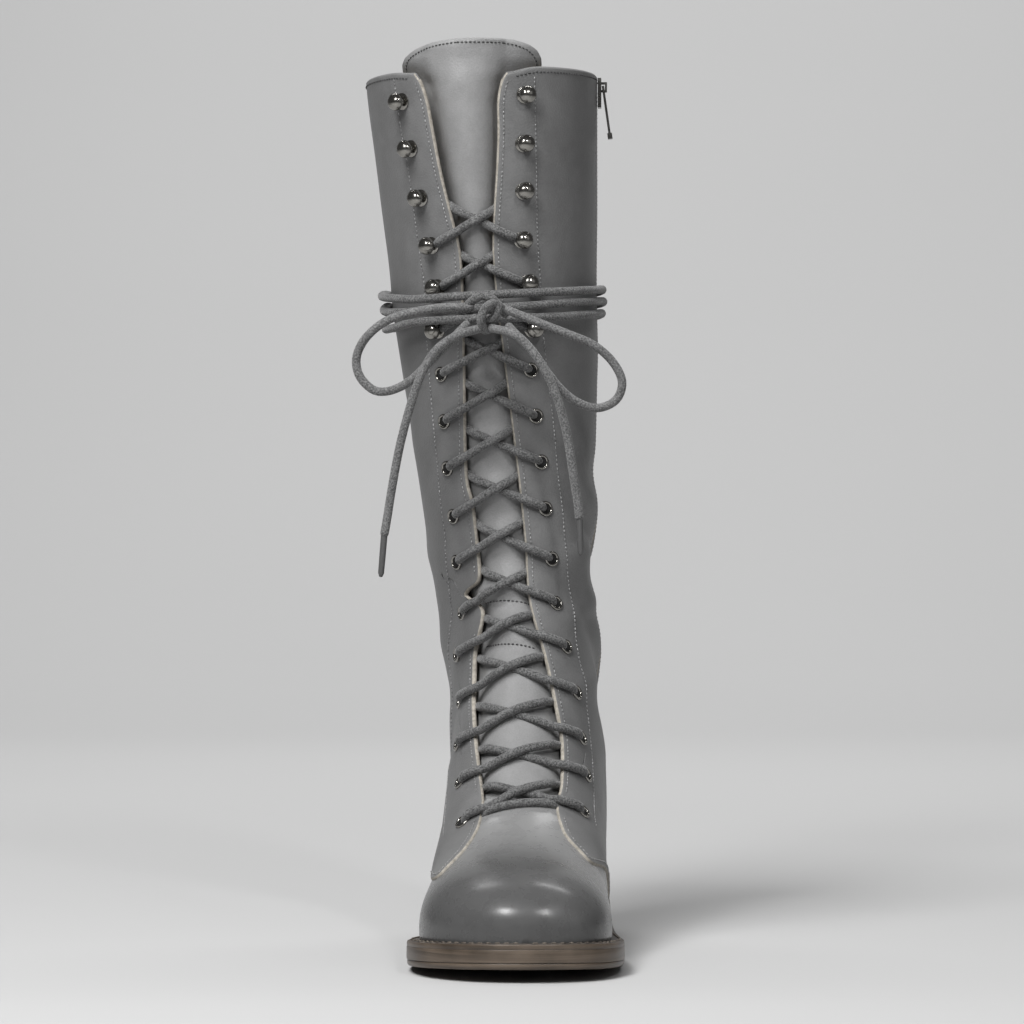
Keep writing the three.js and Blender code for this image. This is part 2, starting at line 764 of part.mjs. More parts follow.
const laced = [
  ...hookRows.slice(3).map(([ox, oz, ix, iz]) => [
    { x: ox * ballWidth + besideHook, z: oz * collarHeight },
    { x: ix * ballWidth - besideHook, z: iz * collarHeight },
  ]),
  ...eyeletRows.map(([ox, oz, ix, iz]) => [
    { x: ox * ballWidth, z: oz * collarHeight },
    { x: ix * ballWidth, z: iz * collarHeight },
  ]),
];
const strands = laced.slice(1).flatMap((row, k) => [[row[0], laced[k][1]], [row[1], laced[k][0]]]);
strands.push([laced.at(-1)[0], laced.at(-1)[1]]);
let lattice = null;
for (const [from, to] of strands) {
  const route = [0, 0.3, 0.7, 1].map((share) => strandPlace(from, to, share));
  const strand = solid(laceTube(route, route.length - 1, laceDiameter, strandSides));
  lattice = lattice ? lattice.add(strand) : strand;
}
add("lace_crossings", geometryOf(lattice), cord);

// Three turns round the shaft, over the hooks, as shares of the collar's height:
// at the inner side, front, outer side and back
const wrapHeights = [
  [0.756, 0.744, 0.751, 0.753],
  [0.742, 0.73, 0.737, 0.74],
  [0.728, 0.717, 0.712, 0.726],
];
const overHooks = quarterStep + trimGap + hookHeight + 3 * clearance + laceDiameter / 2;
const frontTurn = 0.27; // the middle of the lacing, round the section
const wrapSteps = 20;

function wrapRing(heights) {
  const steps = wrapSteps;
  const sections = [];
  const places = [];
  for (let i = 0; i < steps; i += 1) {
    const a = i / steps;
    const quarter = 4 * a;
    const from = Math.floor(quarter);
    const blend = THREE.MathUtils.smoothstep(quarter - from, 0, 1);
    const share = THREE.MathUtils.lerp(heights[from], heights[(from + 1) % heights.length], blend);
    const z = share * collarHeight;
    const u = levelAt(a, z);
    const atFront = THREE.MathUtils.smoothstep(Math.cos(2 * Math.PI * (a - frontTurn)), 0.1, 0.6);
    const offset = THREE.MathUtils.lerp(laceOverFacing + 2 * clearance, overHooks, atFront);
    places.push(skin(u, a, offset).setZ(z));
  }
  for (let i = 0; i < steps; i += 1) {
    const ahead = places[(i + 1) % steps];
    const tangent = places[(i + steps - 1) % steps].clone().sub(ahead).setZ(0).normalize();
    const side = new THREE.Vector3(-tangent.y, tangent.x, 0);
    const corners = laceSection(laceDiameter, trimSides);
    sections.push(corners.map(({ x, y }) => {
      const corner = places[i].clone().addScaledVector(side, x);
      return corner.setZ(corner.z + y);
    }));
  }
  return loft(sections, true);
}

wrapHeights.forEach((heights, i) => add(`lace_wrap_${i + 1}`, wrapRing(heights), cord));

const knotHalf = [6.5, 6.5, 9];
const knotPlace = [-17.1, -88.2, 313.2];
const knot = new THREE.SphereGeometry(1, 10, 6).rotateX(Math.PI / 2);
add("lace_knot", knot.scale(...knotHalf).translate(...knotPlace), cord);
const loopOuter = [
  [-24.6, -88.7, 315.5], [-43, -89.7, 314.6], [-63, -87.7, 310], [-75, -84.7, 302], [-81, -81.7, 292],
  [-80, -80.7, 282.3], [-73, -81.7, 275], [-65, -83.7, 274.4], [-55, -87.7, 278.8], [-46, -91.7, 287],
  [-36, -93.7, 297], [-26.8, -91.7, 306.5],
];
const loopInner = [
  [-9.6, -88.7, 315], [7, -89.7, 308.2], [22.2, -89.7, 302.3], [35, -87.7, 296.9], [44.3, -84.7, 289],
  [49.2, -82.7, 279], [46.2, -81.7, 270], [37, -82.7, 266], [27, -85.7, 269], [19.2, -89.7, 275],
  [12, -92.7, 284], [4, -93.7, 294.5], [-6.2, -91.7, 305.6],
];
const endOuter = [
  [-19.5, -91.9, 304.9], [-31, -100.2, 301], [-41, -100.2, 294], [-48, -99.7, 283], [-53.5, -97.7, 268],
  [-59, -94.7, 248], [-63, -91.7, 228], [-65.5, -89.7, 213], [-67, -89.2, 204.5],
];
const endInner = [
  [-14.6, -91.9, 304.9], [-3, -100.2, 301.5], [5, -100.7, 294], [12, -100.2, 283.5], [17.5, -97.7, 271],
  [22.2, -94.2, 253.8], [25.3, -91.2, 234.2], [27.6, -89.2, 218.9], [28.3, -88.7, 212.4],
];
const agletOuter = [[-67.1, -89.2, 203.9], [-68.8, -88.7, 184]];
const agletInner = [[28.4, -88.7, 211.8], [29.1, -88.2, 194.4]];
const route = (list) => list.map(([x, y, z]) => new THREE.Vector3(x, y, z));
add("lace_loop_outer", laceTube(route(loopOuter), 16), cord);
add("lace_loop_inner", laceTube(route(loopInner), 16), cord);
add("lace_end_outer", laceTube(route(endOuter), 12), cord);
add("lace_end_inner", laceTube(route(endInner), 11), cord);
add("aglet_outer", laceTube(route(agletOuter), 1, agletDiameter), agletGrey);
add("aglet_inner", laceTube(route(agletInner), 1, agletDiameter), agletGrey);

export default boot;
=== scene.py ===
import math

import bpy
import numpy as np
from mathutils import Matrix, Vector


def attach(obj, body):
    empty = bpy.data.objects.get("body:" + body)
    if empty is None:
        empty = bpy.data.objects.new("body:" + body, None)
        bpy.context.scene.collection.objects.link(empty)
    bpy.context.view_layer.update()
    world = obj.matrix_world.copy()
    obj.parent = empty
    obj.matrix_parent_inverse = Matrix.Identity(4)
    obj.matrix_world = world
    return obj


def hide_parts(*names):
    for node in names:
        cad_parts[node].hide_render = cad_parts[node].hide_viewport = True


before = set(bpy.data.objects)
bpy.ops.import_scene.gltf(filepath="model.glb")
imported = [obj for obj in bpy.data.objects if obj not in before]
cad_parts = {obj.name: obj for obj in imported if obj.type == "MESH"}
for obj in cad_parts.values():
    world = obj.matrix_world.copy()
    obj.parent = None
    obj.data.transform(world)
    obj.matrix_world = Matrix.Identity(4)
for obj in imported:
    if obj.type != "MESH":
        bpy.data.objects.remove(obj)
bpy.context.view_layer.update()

# The camera stands level in front of the pair at half height. The shift moves the single boot from
# the left of the photograph's frame to its middle.
MM = 0.001
scene = bpy.context.scene
eye = bpy.data.objects.new("view", bpy.data.cameras.new("view"))
eye.data.lens = 152.4
eye.data.shift_x = -0.129
eye.location = (0.060, -2.210, 0.215)
eye.rotation_euler = (math.pi / 2, 0, 0)
scene.collection.objects.link(eye)
scene.camera = eye


# The lace: a heathered cord, braided round and waxed, 4.3 mm thick. Its loops and ends hang free
# from the knot in front of the shaft, and each end is closed by a tip.
LACE = 4.3 * MM


class Wire:
    """A socket of a material's nodes, for sums and for new nodes in the same tree."""

    def __init__(self, tree, socket=None):
        self.tree = tree
        self.socket = socket

    def join(self, slot, value):
        if isinstance(value, Wire):
            self.tree.links.new(value.socket, slot)
        else:
            slot.default_value = value

    def node(self, kind, settings=None, inputs=None, output=0):
        made = self.tree.nodes.new("ShaderNode" + kind)
        for name, value in (settings or {}).items():
            setattr(made, name, value)
        for name, value in (inputs or {}).items():
            self.join(made.inputs[name], value)
        return Wire(self.tree, made.outputs[output])

    def math(self, operation, first, second=0.0):
        return self.node("Math", {"operation": operation}, {0: first, 1: second})

    def __add__(self, other):
        return self.math("ADD", self, other)

    def __sub__(self, other):
        return self.math("SUBTRACT", self, other)

    def __mul__(self, other):
        return self.math("MULTIPLY", self, other)

    def sine(self):
        return self.math("SINE", self)

    def noise(self, scale, detail=2.0, roughness=0.5):
        values = {"Vector": self, "Scale": scale, "Detail": detail, "Roughness": roughness}
        return self.node("TexNoise", {}, values)

    def cells(self, scale):
        return self.node("TexVoronoi", {}, {"Vector": self, "Scale": scale})

    def step(self, low, high):
        ends = {"Value": self, "From Min": low, "From Max": high}
        return self.node("MapRange", {"interpolation_type": "SMOOTHSTEP"}, ends)

    def stretched(self, *scale):
        return self.node("Mapping", {}, {"Vector": self, "Scale": scale})

    def axis(self, name):
        return self.node("SeparateXYZ", {}, {"Vector": self}, output="XYZ".index(name))

    def mix(self, low, high):
        return self.node("Mix", {"data_type": "RGBA"}, {0: self, 6: low, 7: high}, output=2)


class Finish:
    """A material with its shader, its object coordinates and its own map."""

    def __init__(self, name, color, roughness, metallic=0.0):
        self.material = bpy.data.materials.new(name)
        self.material.use_nodes = True
        tree = self.material.node_tree
        self.shader = tree.nodes["Principled BSDF"]
        self.blank = Wire(tree)
        self.place = self.blank.node("TexCoord", output=3)
        self.map = self.blank.node("TexCoord", output=2)
        self.set("Base Color", (*color, 1))
        self.set("Roughness", roughness)
        self.set("Metallic", metallic)

    def set(self, name, value):
        self.blank.join(self.shader.inputs[name], value)

    def bump(self, height, distance, strength=1.0):
        values = {"Height": height, "Distance": distance, "Strength": strength}
        self.set("Normal", self.blank.node("Bump", {}, values))


def shade(value):
    return (value, value, value, 1)


def waxed_cord(name, dark, light):
    finish = Finish(name, (light, light, light), 0.72)
    along = finish.map.axis("X") * 14 * math.pi
    around = finish.map.axis("Y") * 12 * math.pi
    plait = (along + around).sine() + (along - around).sine()
    fleck = finish.place.noise(1300, 3, 0.6).step(0.36, 0.64)
    patch = finish.place.noise(160, 2).step(0.3, 0.7)
    worn = fleck * 0.8 + plait.step(-1.6, 1.6) * 0.1 + patch * 0.15
    finish.set("Base Color", worn.mix(shade(dark), shade(light)))
    finish.bump(plait * 0.25 + fleck * 0.6, 0.0002, 0.7)
    finish.shader.inputs["Sheen Weight"].default_value = 0.2
    finish.shader.inputs["Sheen Roughness"].default_value = 0.5
    return finish


lace_finish = waxed_cord("waxed_cord", 0.045, 0.175)
# Painted shade: the knot, the laced strands and the turns round the shaft use a darker copy of the same
# lace's colours.
shaded_lace = waxed_cord("shaded_cord", 0.02, 0.15)


def spline(before, start, end, after, t):
    """The place at share t from start to end, on a smooth line through all four."""
    first = 2 * before - 5 * start + 4 * end - after
    second = 3 * start - before - 3 * end + after
    return start + 0.5 * t * (end - before + first * t + second * t * t)


def distances(line):
    """How far along the line each of its points lies."""
    return np.concatenate([[0], np.cumsum(np.linalg.norm(np.diff(line, axis=0), axis=1))])


def read_at(places, known, table):
    """The columns of a table, read at places between the known ones."""
    return np.stack([np.interp(places, known, column) for column in table.T], axis=-1)


def smooth_line(points, spacing):
    """Even steps on a smooth line through the points."""
    knots = np.array(points, dtype=float)
    knots = np.concatenate([[2 * knots[0] - knots[1]], knots, [2 * knots[-1] - knots[-2]]])
    t = np.linspace(0, 1, 24, endpoint=False)[:, None]
    fine = [spline(*four, t) for four in zip(knots, knots[1:], knots[2:], knots[3:])]
    fine = np.concatenate([*fine, knots[-2:-1]])
    gone = distances(fine)
    count = max(4, round(gone[-1] / spacing) + 1)
    return read_at(np.linspace(0, gone[-1], count), gone, fine)


def unit(vectors):
    return vectors / np.maximum(np.linalg.norm(vectors, axis=-1, keepdims=True), 1e-12)


def new_piece(name, points, faces, finishes, slot, which=None, uv=None, smooth=True):
    """A mesh in the boot's own frame, with its finishes."""
    mesh = bpy.data.meshes.new(name)
    mesh.from_pydata(np.asarray(points).tolist(), [], [tuple(int(i) for i in f) for f in faces])
    for finish in finishes:
        mesh.materials.append(finish.material)
    if which is not None:
        mesh.polygons.foreach_set("material_index", np.asarray(which, dtype=np.int32))
    if uv is not None:
        layer = mesh.uv_layers.new(name="map")
        layer.data.foreach_set("uv", np.asarray(uv, dtype=np.float32).ravel())
    mesh.polygons.foreach_set("use_smooth", np.full(len(mesh.polygons), smooth))
    mesh.update()
    piece = bpy.data.objects.new(name, mesh)
    scene.collection.objects.link(piece)
    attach(piece, "boot")
    return piece


def tube_parts(line, radius, closed=False):
    """Points, faces and map of a round cord along a line."""
    sides = 12
    count = len(line)
    if closed:
        tangents = unit(np.roll(line, -1, axis=0) - np.roll(line, 1, axis=0))
    else:
        tangents = unit(np.gradient(line, axis=0))
    radii = np.broadcast_to(np.asarray(radius, dtype=float), (count,))
    side = unit(np.cross(tangents[0], [0.31, 0.2, 0.93]))
    sides_at = []
    for tangent in tangents:
        side = unit(side - tangent * np.dot(side, tangent))
        sides_at.append(side)
    sides_at = np.array(sides_at)
    if closed:
        start, end = sides_at[0], unit(sides_at[-1] - tangents[0] * np.dot(sides_at[-1], tangents[0]))
        twist = math.atan2(np.dot(np.cross(end, start), tangents[0]), np.dot(end, start))
    else:
        twist = 0.0
    across = np.cross(tangents, sides_at)
    angle = 2 * math.pi * np.arange(sides)[None] / sides + twist * np.arange(count)[:, None] / count
    ring = (np.cos(angle)[..., None] * sides_at[:, None] + np.sin(angle)[..., None] * across[:, None])
    points = line[:, None] + ring * radii[:, None, None]
    rings = list(points)
    lengths = list(distances(line))
    if not closed:
        for reach, share in ((0.45, 0.86), (0.75, 0.5)):
            low = line[0] - tangents[0] * radii[0] * reach + ring[0] * radii[0] * share
            high = line[-1] + tangents[-1] * radii[-1] * reach + ring[-1] * radii[-1] * share
            rings = [low, *rings, high]
            lengths = [lengths[0] - reach * radii[0], *lengths, lengths[-1] + reach * radii[-1]]
    rings = np.array(rings)
    lengths = np.array(lengths) / (2 * math.pi * float(np.mean(radii)))
    n = len(rings)
    faces, uv = [], []
    whole = round(lengths[-1] + lengths[1] - lengths[0]) if closed else 0
    for i in range(n if closed else n - 1):
        k = (i + 1) % n
        end = whole if k == 0 else lengths[k]
        for j in range(sides):
            m = (j + 1) % sides
            faces.append((i * sides + j, i * sides + m, k * sides + m, k * sides + j))
            uv += [(lengths[i], j / sides), (lengths[i], (j + 1) / sides)]
            uv += [(end, (j + 1) / sides), (end, j / sides)]
    if not closed:
        faces.append(tuple(range(sides - 1, -1, -1)))
        faces.append(tuple((n - 1) * sides + j for j in range(sides)))
        uv += [(lengths[0], 0.5)] * sides + [(lengths[-1], 0.5)] * sides
    return rings.reshape(-1, 3), faces, uv


def cord_piece(name, lines, finish, closed=False):
    points, faces, uv = [], [], []
    for line in lines:
        base = len(points)
        part_points, part_faces, part_uv = tube_parts(line, LACE / 2, closed)
        points += part_points.tolist()
        faces += [tuple(i + base for i in face) for face in part_faces]
        uv += part_uv
    return new_piece(name, points, faces, [finish], "lace", uv=uv)


LOOP_OUTER = [
    (-24.6, -88.7, 315.5), (-43, -89.7, 314.6), (-63, -87.7, 310), (-75, -84.7, 302), (-81, -81.7, 292),
    (-80, -80.7, 282.3), (-73, -81.7, 275), (-65, -83.7, 274.4), (-55, -87.7, 278.8), (-46, -91.7, 287),
    (-36, -93.7, 297), (-26.8, -91.7, 306.5),
]
LOOP_INNER = [
    (-9.6, -88.7, 315), (7, -89.7, 308.2), (22.2, -89.7, 302.3), (35, -87.7, 296.9), (44.3, -84.7, 289),
    (49.2, -82.7, 279), (46.2, -81.7, 270), (37, -82.7, 266), (27, -85.7, 269), (19.2, -89.7, 275),
    (12, -92.7, 284), (4, -93.7, 294.5), (-6.2, -91.7, 305.6),
]
END_OUTER = [
    (-19.5, -91.9, 304.9), (-31, -100.2, 301), (-41, -100.2, 294), (-48, -99.7, 283), (-53.5, -97.7, 268),
    (-59, -94.7, 248), (-63, -91.7, 228), (-65.5, -89.7, 213), (-67, -89.2, 204.5),
]
END_INNER = [
    (-14.6, -91.9, 304.9), (-3, -100.2, 301.5), (5, -100.7, 294), (12, -100.2, 283.5), (17.5, -97.7, 271),
    (22.2, -94.2, 253.8), (25.3, -91.2, 234.2), (27.6, -89.2, 218.9), (28.3, -88.7, 212.4),
]
TIP_OUTER = [(-67.1, -89.2, 203.9), (-68.8, -88.7, 184)]
TIP_INNER = [(28.4, -88.7, 211.8), (29.1, -88.2, 194.4)]
KNOT_RING = [
    (-28, -86.5, 314), (-24.5, -89.5, 318), (-19, -92, 320.5), (-13.5, -92.5, 318.5), (-11.5, -92.5, 314.5),
    (-13, -91.5, 310.5), (-17, -90.5, 308.5), (-22, -89.5, 310), (-26, -87, 308.5),
]
KNOT_BAND = [
    (-8, -87, 312), (-11, -91.5, 316), (-15, -95, 316.5), (-18.5, -96, 312.5), (-19.5, -95, 307.5),
    (-18, -91.5, 304), (-16, -87.5, 304.5),
]


def in_metres(points):
    return [tuple(MM * value for value in point) for point in points]


tip_finish = Finish("lace_tip", (0.07, 0.07, 0.07), 0.42)
tip_finish.bump(tip_finish.place.stretched(1, 1, 0.2).noise(2500, 2), 0.0001, 0.6)
knot_lines = [smooth_line(in_metres(points), 0.9 * MM) for points in (KNOT_RING, KNOT_BAND)]
knot = cord_piece("tied_knot", knot_lines, shaded_lace)
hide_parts("lace_knot")

for name, points in (("loop_outer", LOOP_OUTER), ("loop_inner", LOOP_INNER)):
    line = smooth_line(in_metres(points), 2 * MM)
    loop = cord_piece("tied_" + name, [line], lace_finish)
    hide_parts("lace_" + name)

for name, points, tip_points in (("outer", END_OUTER, TIP_OUTER), ("inner", END_INNER, TIP_INNER)):
    top, low = (Vector(point) for point in in_metres(tip_points))
    rims = [top + (low - top) * share for share in (-0.05, 0.0, 0.04, 0.5, 0.94, 1.0)]
    widths = np.array([1.3, 1.62, 1.66, 1.6, 1.5, 1.1]) * MM
    tip_line = np.array([tuple(rim) for rim in rims])
    tip = new_piece("tip_" + name, *tube_parts(tip_line, widths)[:2], [tip_finish], "aglet")
    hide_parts("aglet_" + name)
    line = smooth_line(in_metres(points), 2 * MM)
    end = cord_piece("hanging_end_" + name, [line], lace_finish)
    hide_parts("lace_end_" + name)


# The form that the leather is drawn over: rings from the toe up to the collar. In each, a place is
# named by its share of a turn: 0 inner side, 0.25 front, 0.5 outer side, 0.75 back.
LAST_LENGTH = 272
FOOT = [
    (-231, 4.5, 3.6, 8.4), (-230.4, 9, -3.5, 15), (-229, 13.8, -10, 21), (-226.6, 18.1, -16.5, 26.5),
    (-223, 22.2, -22.6, 32.4), (-218, 26.4, -28.8, 37), (-212, 29.9, -34.2, 40.2),
    (-204, 33.6, -39.2, 42.8), (-194, 36.6, -42.9, 44.4), (-182, 39.7, -45.2, 45), (-169, 44.1, -45.6, 45),
    (-155, 51, -44.8, 44.4), (-142, 59, -43.6, 43.6),
]
WAIST = [
    (-130, 80, -122, -42.2, 42.6, 0.41, 21.4), (-118, 92, -100, -40.8, 41.4, 0.39, 20.8),
    (-106.5, 105, -78, -39.4, 40.4, 0.36, 19.6), (-96, 119, -54, -38.6, 40.2, 0.35, 18.6),
    (-87, 133, -28, -37.8, 39.8, 0.37, 19.7), (-79, 147, 0, -36.8, 40, 0.4, 22),
    (-72.5, 161, 24, -36.2, 39.6, 0.44, 24), (-67, 175, 41.5, -37.2, 37, 0.5, 9),
]
LEG = [
    (-64, 189, 44, 57, -37.8, 34.3), (-62.5, 203, 41.5, 88, -40, 36.3), (-62, 217, 37, 118, -43.1, 34.8),
    (-62, 231, 34, 148, -46.3, 31.6), (-62, 245, 34, 175, -49.6, 34.2), (-63, 259, 36, 203, -52.8, 33.9),
    (-64.5, 277, 40, 233, -56, 34.4), (-66, 297, 45, 263, -60.5, 34.9), (-67.5, 319, 49, 295, -64.5, 34.8),
    (-69, 343, 52.5, 329, -67.7, 34.7), (-71, 369, 55, 362, -71.6, 35), (-73, 395, 56, 393, -75.1, 35),
    (-75, 421, 56, 421, -78.6, 35), (-77, 448, 56, 449, -81.2, 35), (-79, 475, 56, 477, -84.5, 35),
]
SOLE_UNDER = 12.0
HEEL_RISE = 32.0
TOE_SPRING = 6.0


def ease(value, low, high):
    share = np.clip((value - low) / (high - low), 0, 1)
    return share * share * (3 - 2 * share)


def bed(y):
    """Height of the footbed, in millimetres, at y in millimetres."""
    spring = np.maximum(0, (-0.515 * LAST_LENGTH - y) / (0.334 * LAST_LENGTH))
    arch = ease(y, -0.41 * LAST_LENGTH, -0.018 * LAST_LENGTH)
    return SOLE_UNDER + arch * (HEEL_RISE - SOLE_UNDER) + spring * TOE_SPRING


rings = []
for y, top, outer, inner in FOOT:
    low = bed(y) - 14
    rings.append((y, low + 14 + top, y, low, outer, inner, min(0.5, 19 / (14 + top)), 2.25, 2.7))
for front_y, front_z, back_y, outer, inner, widest, tuck in WAIST:
    rings.append((front_y, front_z, back_y, bed(back_y) - tuck, outer, inner, widest, 2.25, 2.8))
for front_y, front_z, back_y, back_z, outer, inner in LEG:
    rings.append((front_y, front_z, back_y, back_z, outer, inner, 0.5, 2.15, 2.2))
RINGS = np.array(rings, dtype=float)
LAST_RING = len(RINGS) - 1
HEEL_RING = len(FOOT) + len(WAIST) - 1


def paired(first, second):
    return np.broadcast_arrays(np.asarray(first, dtype=float), np.asarray(second, dtype=float))


def form(u, a):
    """The place on the form at ring u and turn share a, in millimetres."""
    u, a = paired(u, a)
    i = np.clip(np.floor(u).astype(int), 0, LAST_RING - 1)
    t = np.clip(u - i, 0, 1)[..., None]
    four = [RINGS[np.clip(i + k, 0, LAST_RING)] for k in (-1, 0, 1, 2)]
    ring = np.moveaxis(spline(*four, t), -1, 0)
    front_y, front_z, back_y, back_z, outer, inner, widest, square_front, square_back = ring
    cosine, sine = np.cos(2 * np.pi * a), np.sin(2 * np.pi * a)
    power = 2 / np.where(sine > 0, square_front, square_back)
    across = np.sign(cosine) * np.abs(cosine) ** power
    rise = np.sign(sine) * np.abs(sine) ** power
    share = widest + rise * np.where(rise > 0, 1 - widest, widest)
    x = (outer + inner) / 2 + across * (inner - outer) / 2
    return np.stack([x, back_y + share * (front_y - back_y), back_z + share * (front_z - back_z)], axis=-1)


def form_normal(u, a):
    up = form(np.minimum(u + 0.05, LAST_RING), a) - form(np.maximum(u - 0.05, 0), a)
    return unit(np.cross(up, form(u, a + 0.003) - form(u, a - 0.003)))


def bisect(is_over, low, high, steps=26):
    for _ in range(steps):
        middle = (low + high) / 2
        over = is_over(middle)
        low, high = np.where(over, low, middle), np.where(over, middle, high)
    return (low + high) / 2


def ring_of(a, z, lowest=0.0):
    a, z = paired(a, z)
    low, high = np.full(a.shape, float(lowest)), np.full(a.shape, float(LAST_RING))
    return bisect(lambda u: form(u, a)[..., 2] > z, low, high)


def front_turn(x, z):
    """The turn share of what is seen from the front at x, z."""
    x, z = paired(x, z)
    low, high = np.full(x.shape, 0.001), np.full(x.shape, 0.499)
    return bisect(lambda a: form(ring_of(a, z), a)[..., 0] < x, low, high)


def side_turn(side, y, z):
    """The turn share at y, z on the outer side, which is -1, or on the inner one."""
    def turned(a):
        return a if side < 0 else 0.5 - a
    start, end = np.full(np.shape(y), 0.3), np.full(np.shape(y), 0.74)
    return turned(bisect(lambda a: form(ring_of(turned(a), z, 6), turned(a))[..., 1] > y, start, end))


def turn_width(u, a):
    """The length of a whole turn, in millimetres, if it were all as wide as at ring u and turn a."""
    return np.linalg.norm(form(u, a + 0.01) - form(u, a - 0.01), axis=-1) / 0.02


# Slack folds of the shaft, where the leather gives at the ankle: turn and height of both ends of a
# ridge, its half width and its height. A negative height is a dip.
FOLDS = [
    (0.94, 183, 1.08, 180, 9, -1.8), (0.93, 143, 1.1, 151, 9, 0.7), (0.92, 165, 1.12, 163, 6, -1),
    (0.9, 115, 1.06, 118, 8, -1.9), (0.97, 97, 1.09, 93, 8, 0.5), (0.94, 215, 1.1, 223, 10, 1.1),
    (0.96, 237, 1.08, 233, 8, -1.1), (0.03, 199, 0.17, 189, 7, 1.5), (0.04, 169, 0.17, 161, 7, 1.5),
    (0.05, 133, 0.16, 127, 7, 1.3), (0.36, 169, 0.5, 161, 6, -1.2), (0.36, 189, 0.58, 195, 9, 1.2),
    (0.37, 143, 0.57, 149, 9, 1.2), (0.4, 119, 0.54, 125, 7, -0.9), (0.62, 169, 0.84, 175, 7, -1.3),
    (0.64, 193, 0.86, 191, 9, 1.2), (0.6, 149, 0.78, 145, 8, 1.1), (0.66, 219, 0.88, 215, 7, -0.9),
    (0.45, 255, 0.6, 241, 12, 0.8), (0.98, 293, 1.08, 305, 16, 0.6), (0.46, 323, 0.58, 311, 16, 0.6),
]
ROUND = 300.0


def fold_height(a, z):
    height = np.zeros(np.broadcast(a, z).shape)
    for a1, z1, a2, z2, width, rise in FOLDS:
        for shift in (-1, 0, 1):
            ax, bx = (a1 + shift) * ROUND, (a2 + shift) * ROUND
            run = np.hypot(bx - ax, z2 - z1)
            lx, lz = (bx - ax) / run, (z2 - z1) / run
            px, pz = a * ROUND - ax, z - z1
            on = px * lx + pz * lz
            off = px * lz - pz * lx + 0.12 * (on - run / 2) ** 2 / run
            ends = ease(on, -0.25 * run, 0.3 * run) * ease(-on, -1.25 * run, -0.7 * run)
            height = height + rise * ends * np.exp(-(off / width) ** 2)
    return height


def skin(u, a, offset=0.0):
    """Points in metres at an offset in millimetres over the form, and their normals."""
    base = form(u, a)
    normal = form_normal(u, a)
    lift = fold_height(a, base[..., 2]) * ease(base[..., 2], 63, 103)
    return (base + normal * (np.asarray(offset) + lift)[..., None]) * MM, normal


# Light and ground: a pale sweep of paper under the boot and up behind it, a large soft light from
# the front left, two small ones over the toe, one on the paper's back, and a weak even surround.
def add_light(name, place, aim, width, height, power):
    lamp = bpy.data.lights.new(name, "AREA")
    lamp.shape = "RECTANGLE"
    lamp.size = width
    lamp.size_y = height
    lamp.energy = power
    holder = bpy.data.objects.new(name, lamp)
    holder.location = place
    holder.rotation_euler = (Vector(aim) - Vector(place)).to_track_quat("-Z", "Y").to_euler()
    scene.collection.objects.link(holder)
    return holder


key = add_light("key", (-0.5, -0.95, 1.75), (0, 0, 0.28), 0.75, 0.75, 44)
key.visible_glossy = False
add_light("fill", (1.7, -1.4, 1.1), (0, 0, 0.2), 1.2, 1.2, 1.6)
add_light("over_left", (-0.5, -1.3, 1.14), (0, -0.2, 0.1), 0.22, 0.34, 11)
add_light("over_right", (0.5, -1.3, 1.14), (0, -0.2, 0.1), 0.12, 0.3, 6)
add_light("wash", (0, 1.0, 2.5), (0, 3.6, 0.5), 2.4, 0.6, 95)
scene.view_settings.view_transform = "Standard"
world = bpy.data.worlds.new("surround")
world.use_nodes = True
world.node_tree.nodes["Background"].inputs["Color"].default_value = (1, 1, 1, 1)
world.node_tree.nodes["Background"].inputs["Strength"].default_value = 0.095
scene.world = world

paper = Finish("paper", (0.41, 0.41, 0.41), 0.9)
paper.set("Base Color", paper.place.noise(1.2, 1).mix(shade(0.4), shade(0.42)))
sweep_points, sweep_faces = [], []
for step in range(25):
    bend = max(0, step - 6) / 12
    y = -4.0 + step * 1.0 if step < 7 else 2.0 + 1.6 * math.sin(min(1, bend) * math.pi / 2)
    z = 1.6 * (1 - math.cos(min(1, bend) * math.pi / 2)) + max(0, step - 18) * 0.5
    sweep_points += [(-6, y, z), (6, y, z)]
for step in range(24):
    sweep_faces.append((2 * step, 2 * step + 1, 2 * step + 3, 2 * step + 2))
mesh = bpy.data.meshes.new("sweep")
mesh.from_pydata(sweep_points, [], sweep_faces)
mesh.materials.append(paper.material)
mesh.polygons.foreach_set("use_smooth", np.full(len(sweep_faces), True))
sweep = bpy.data.objects.new("sweep", mesh)
scene.collection.objects.link(sweep)


# The sole: a dark stitched welt round the upper, a midsole and an outsole of leather with waxed
# edges, a stacked heel and its rubber lift. Each is cut to the outline where the upper meets it.
WELT_OUT = 6.2


def over_bed(u, a):
    """How high the form stands over the footbed, at ring u and turn a."""
    place = form(u, a)
    return place[..., 2] - bed(place[..., 1])


def feather_turns(u):
    """Where ring u meets the footbed, on the outer and on the inner side."""
    start = np.full(np.shape(u), 0.5)
    outer = bisect(lambda a: over_bed(u, a) < 0, start, start + 0.25)
    inner = bisect(lambda a: over_bed(u, 1.5 - a) < 0, start, start + 0.25)
    return outer, 0.5 - inner


HEEL_U = float(bisect(lambda u: over_bed(u, 0.75) > 0, np.array(HEEL_RING - 1.4), np.array(HEEL_RING + 1.4)))
share = np.linspace(0, 1, 150)
stations = HEEL_U * np.where(share < 0.5, share, 0.5 + 0.5 * (1 - (2 - 2 * share) ** 2) * 0.9995)
outer_turn, inner_turn = feather_turns(stations)
feather_outer = form(stations, outer_turn)
feather_inner = form(stations, inner_turn)


def even_side(side, count):
    """Places along a side, closer together near its ends."""
    gone = distances(side[:, :2])
    return read_at(gone[-1] * (1 - np.cos(np.pi * np.linspace(0, 1, count))) / 2, gone, side)


